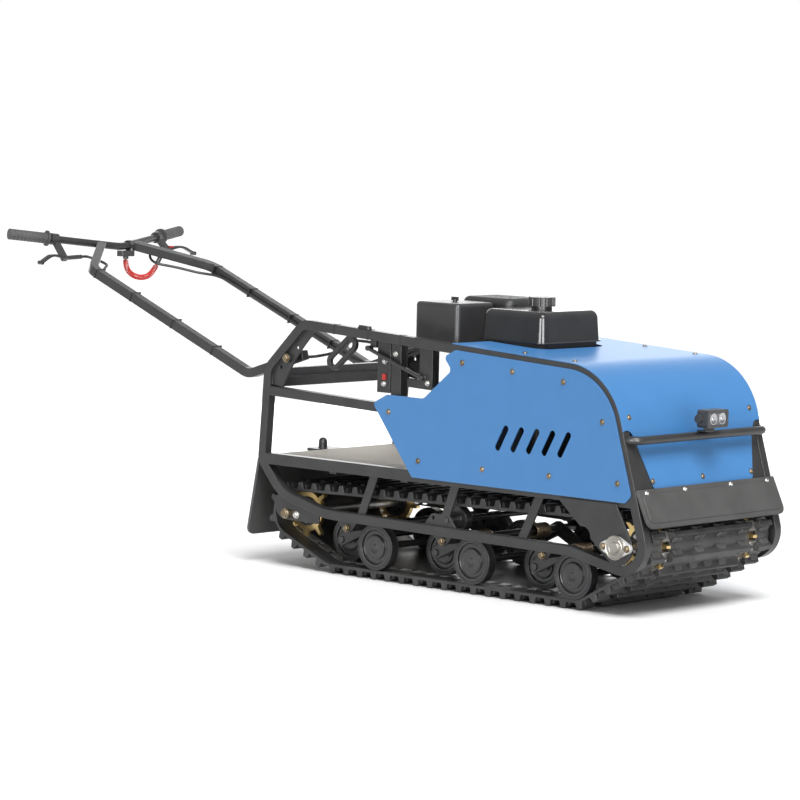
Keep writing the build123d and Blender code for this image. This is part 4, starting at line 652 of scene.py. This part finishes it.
# Engine: a black-painted block under the hood with its silencer, moulded air box and fuel tank
# standing above the rails, each bolted to the block. The tank is the glossiest.
heat_black = grained(
    "engine_black", (0.028, 0.028, 0.029), (0.042, 0.042, 0.043), roughness=0.48, grain=2.2, depth=0.05
)
plastic = grained(
    "plastic_black", (0.046, 0.046, 0.048), (0.056, 0.056, 0.058), roughness=0.34, grain=1.2, depth=0.01
)
tank_gloss = grained(
    "tank_black", (0.030, 0.030, 0.031), (0.036, 0.036, 0.037), roughness=0.13, grain=9.0, depth=0.004
)
dress(heat_black, "engine", "muffler")
dress(plastic, "air_box", "fuel_cap")
dress(tank_gloss, "fuel_tank")

# Body panels: folded sheet in matte blue powder coat, held to the frame by bronze pan-head screws
# along their edges.
blue = grained("panel_blue", (0.060, 0.232, 0.538), (0.063, 0.239, 0.552), roughness=0.38, grain=1.4, depth=0.02)
dress(blue, "side_panel_left", "side_panel_right", "hood", "front_plate")
# Screw head with its recess: radius, height
PAN_HEAD = [(7.5, 0.0), (7.5, 0.8), (5.6, 0.9), (5.4, 2.4), (4.4, 3.4), (2.4, 3.6), (2.2, 2.4), (1.0, 2.2)]
SCREW_SIDES = 16
PANEL_FACE = 286.0
# Screws of a side panel: station, height
PANEL_SCREWS = [(639, 605), (810, 594), (980, 580), (1110, 489), (1164, 339), (384, 458)]
PANEL_SCREWS += [(493, 337), (716, 335), (941, 338)]
screw = lathe(PAN_HEAD, SCREW_SIDES)
panel_places = [(station, -PANEL_FACE, height) for station, height in PANEL_SCREWS]
panel_screws = copies(screw, on_both_sides(panel_places), outwards(len(panel_places)))
piece("panel_screws", panel_screws, bronze, "zinc_yellow", "chassis")
# Screws of the hood and the front plate: station, y, height, and the slope of the sheet there
FRONT_NORMAL = (0.957, 0.0, 0.291)
TOP_NORMAL = (0.058, 0.0, 0.998)
HOOD_SCREWS = [
    ((817, -246, 641.0), TOP_NORMAL),
    ((985, -248, 631.3), TOP_NORMAL),
    ((1165.7, -249, 503.1), FRONT_NORMAL),
    ((1212.2, -204, 344.2), FRONT_NORMAL),
]
MIDDLE_SCREW = (1212.2, 0, 344.2)
hood_places = np.concatenate([on_both_sides([place for place, _ in HOOD_SCREWS]), metres([MIDDLE_SCREW])])
hood_normals = np.concatenate([np.tile([normal for _, normal in HOOD_SCREWS], (2, 1)), [FRONT_NORMAL]])
hood_screws = copies(screw, hood_places, aimed(hood_normals))
piece("hood_screws", hood_screws, bronze, "zinc_yellow", "chassis")

# Flaps and lamp: grey rubber snow flaps bolted under the front plate and behind the deck, and a small
# headlight with two reflectors on the bumper bar.
FLAP_NORMAL = (0.902, 0.0, 0.431)
FLAP_BOLTS = [(1230.0, -250, 318.5), (1229.9, -95, 318.8)]
LENS_FACE = 1253.0
LAMP_Y = 18.0
LAMP_Z = 494.0
REFLECTOR_SIDES = 32
# Reflector: radius, height
REFLECTOR = [(15, 0), (15, 1.6), (14, 1.8), (11, 1.0), (6, 0.5), (4, 0.4), (3.2, 1.2), (1.5, 1.5)]
flap_grey = grained(
    "flap_rubber", (0.070, 0.069, 0.068), (0.086, 0.085, 0.084), roughness=0.46, grain=2.4, depth=0.03, edge=2.0
)
dress(flap_grey, "front_flap", "rear_flap")
flap_places = on_both_sides(FLAP_BOLTS)
flap_bolts = copies(screw, flap_places, aimed([FLAP_NORMAL] * len(flap_places)))
piece("flap_bolts", flap_bolts, steel, "bright_steel", "chassis")
lens = grained("lamp_lens", (0.09, 0.095, 0.10), (0.13, 0.135, 0.14), roughness=0.10, grain=8.0, depth=0.01)
dress(plastic, "headlight")
dress(lens, "headlight_lens")
lamp_places = on_both_sides([(LENS_FACE, -LAMP_Y, LAMP_Z)])
chrome = Finish("reflector_chrome", Base_Color=(0.46, 0.47, 0.49), Metallic=1.0, Roughness=0.14)
lamp_axes = aimed([(1.0, 0.0, 0.0)] * len(lamp_places))
reflectors = copies(lathe(REFLECTOR, REFLECTOR_SIDES), lamp_places, lamp_axes)
piece("reflectors", reflectors, chrome, "lamp_lens", "chassis")


# Handle: bent square tube in the frame's coat with ribbed grey grips, levers, a stop switch and black
# cables, which nylon ties hold to the legs and to the right top rail.
def threaded(way, count):
    """Axes for as many copies whose third axis runs along a way in the side view."""
    third = np.array((way[0], 0.0, way[1])) / np.hypot(*way)
    return np.tile([[LEFTWARD, np.cross(third, LEFTWARD), third]], (count, 1, 1))


PIVOT = (0.0, 574.0)
PIN_END = 282.0
PIN_NUT = (17.0, 8.0)
CATCH_SIZE = (14.0, 16.0, 9.0)
CATCH_SPOT = (-986.0, 222.0, 821.0)
LEG_FOOT = np.array((-176.5, 516.6))
LEG_HEAD = np.array((-826.0, 772.0))
# Shares of a leg's length at which its ties sit
LEG_TIES = np.array((0.22, 0.47, 0.73, 0.96))
LEG_TIE_Y = 236.0
LEG_TIE_SIZE = (36.4, 26.8, 3.6)
RAIL_TIES = np.array((176.0, 300.0, 416.0))
RAIL_TIE_Y = 270.5
RAIL_TIE_SIZE = (26.8, 26.8, 3.6)
RAIL_CORNER = (55.0, 683.0)
RAIL_DROP = 12.5
RAIL_SLOPE = 62.0 / 1073.0
grip_grey = grained("grip_grey", (0.075, 0.075, 0.078), (0.10, 0.10, 0.103), roughness=0.60, grain=2.0, depth=0.08)
cable_black = grained(
    "cable_black", (0.020, 0.020, 0.021), (0.030, 0.030, 0.031), roughness=0.45, grain=3.0, depth=0.03
)
dress(powder, "handle_frame")
dress(plastic, "lever_left", "lever_right", "switch_box")
dress(grip_grey, "grip_left", "grip_right")
dress(cable_black, "handle_cables", "frame_cables")
pin_places = on_both_sides([(PIVOT[0], -PIN_END, PIVOT[1])])
piece("pin_nuts", copies(hex_bolt(*PIN_NUT), pin_places, outwards(1)), bronze, "zinc_yellow", "handle")
lever_catch = copies(block(CATCH_SIZE), metres([CATCH_SPOT]), np.eye(3)[None])
piece("lever_catch", lever_catch, tether_red, "tether_red", "handle")
leg = LEG_HEAD - LEG_FOOT
leg_spots = LEG_FOOT + LEG_TIES[:, None] * leg
leg_places = on_both_sides(np.insert(leg_spots, 1, -LEG_TIE_Y, axis=1))
leg_ties = copies(block(LEG_TIE_SIZE), leg_places, threaded(leg, len(leg_places)))
piece("leg_ties", leg_ties, cable_black, "rubber_black", "handle")
rail_heights = RAIL_CORNER[1] - RAIL_SLOPE * (RAIL_TIES - RAIL_CORNER[0]) - RAIL_DROP
rail_places = metres(np.column_stack([RAIL_TIES, np.full(len(RAIL_TIES), -RAIL_TIE_Y), rail_heights]))
rail_ties = copies(block(RAIL_TIE_SIZE), rail_places, threaded((1.0, -RAIL_SLOPE), len(RAIL_TIES)))
piece("rail_ties", rail_ties, cable_black, "rubber_black", "chassis")
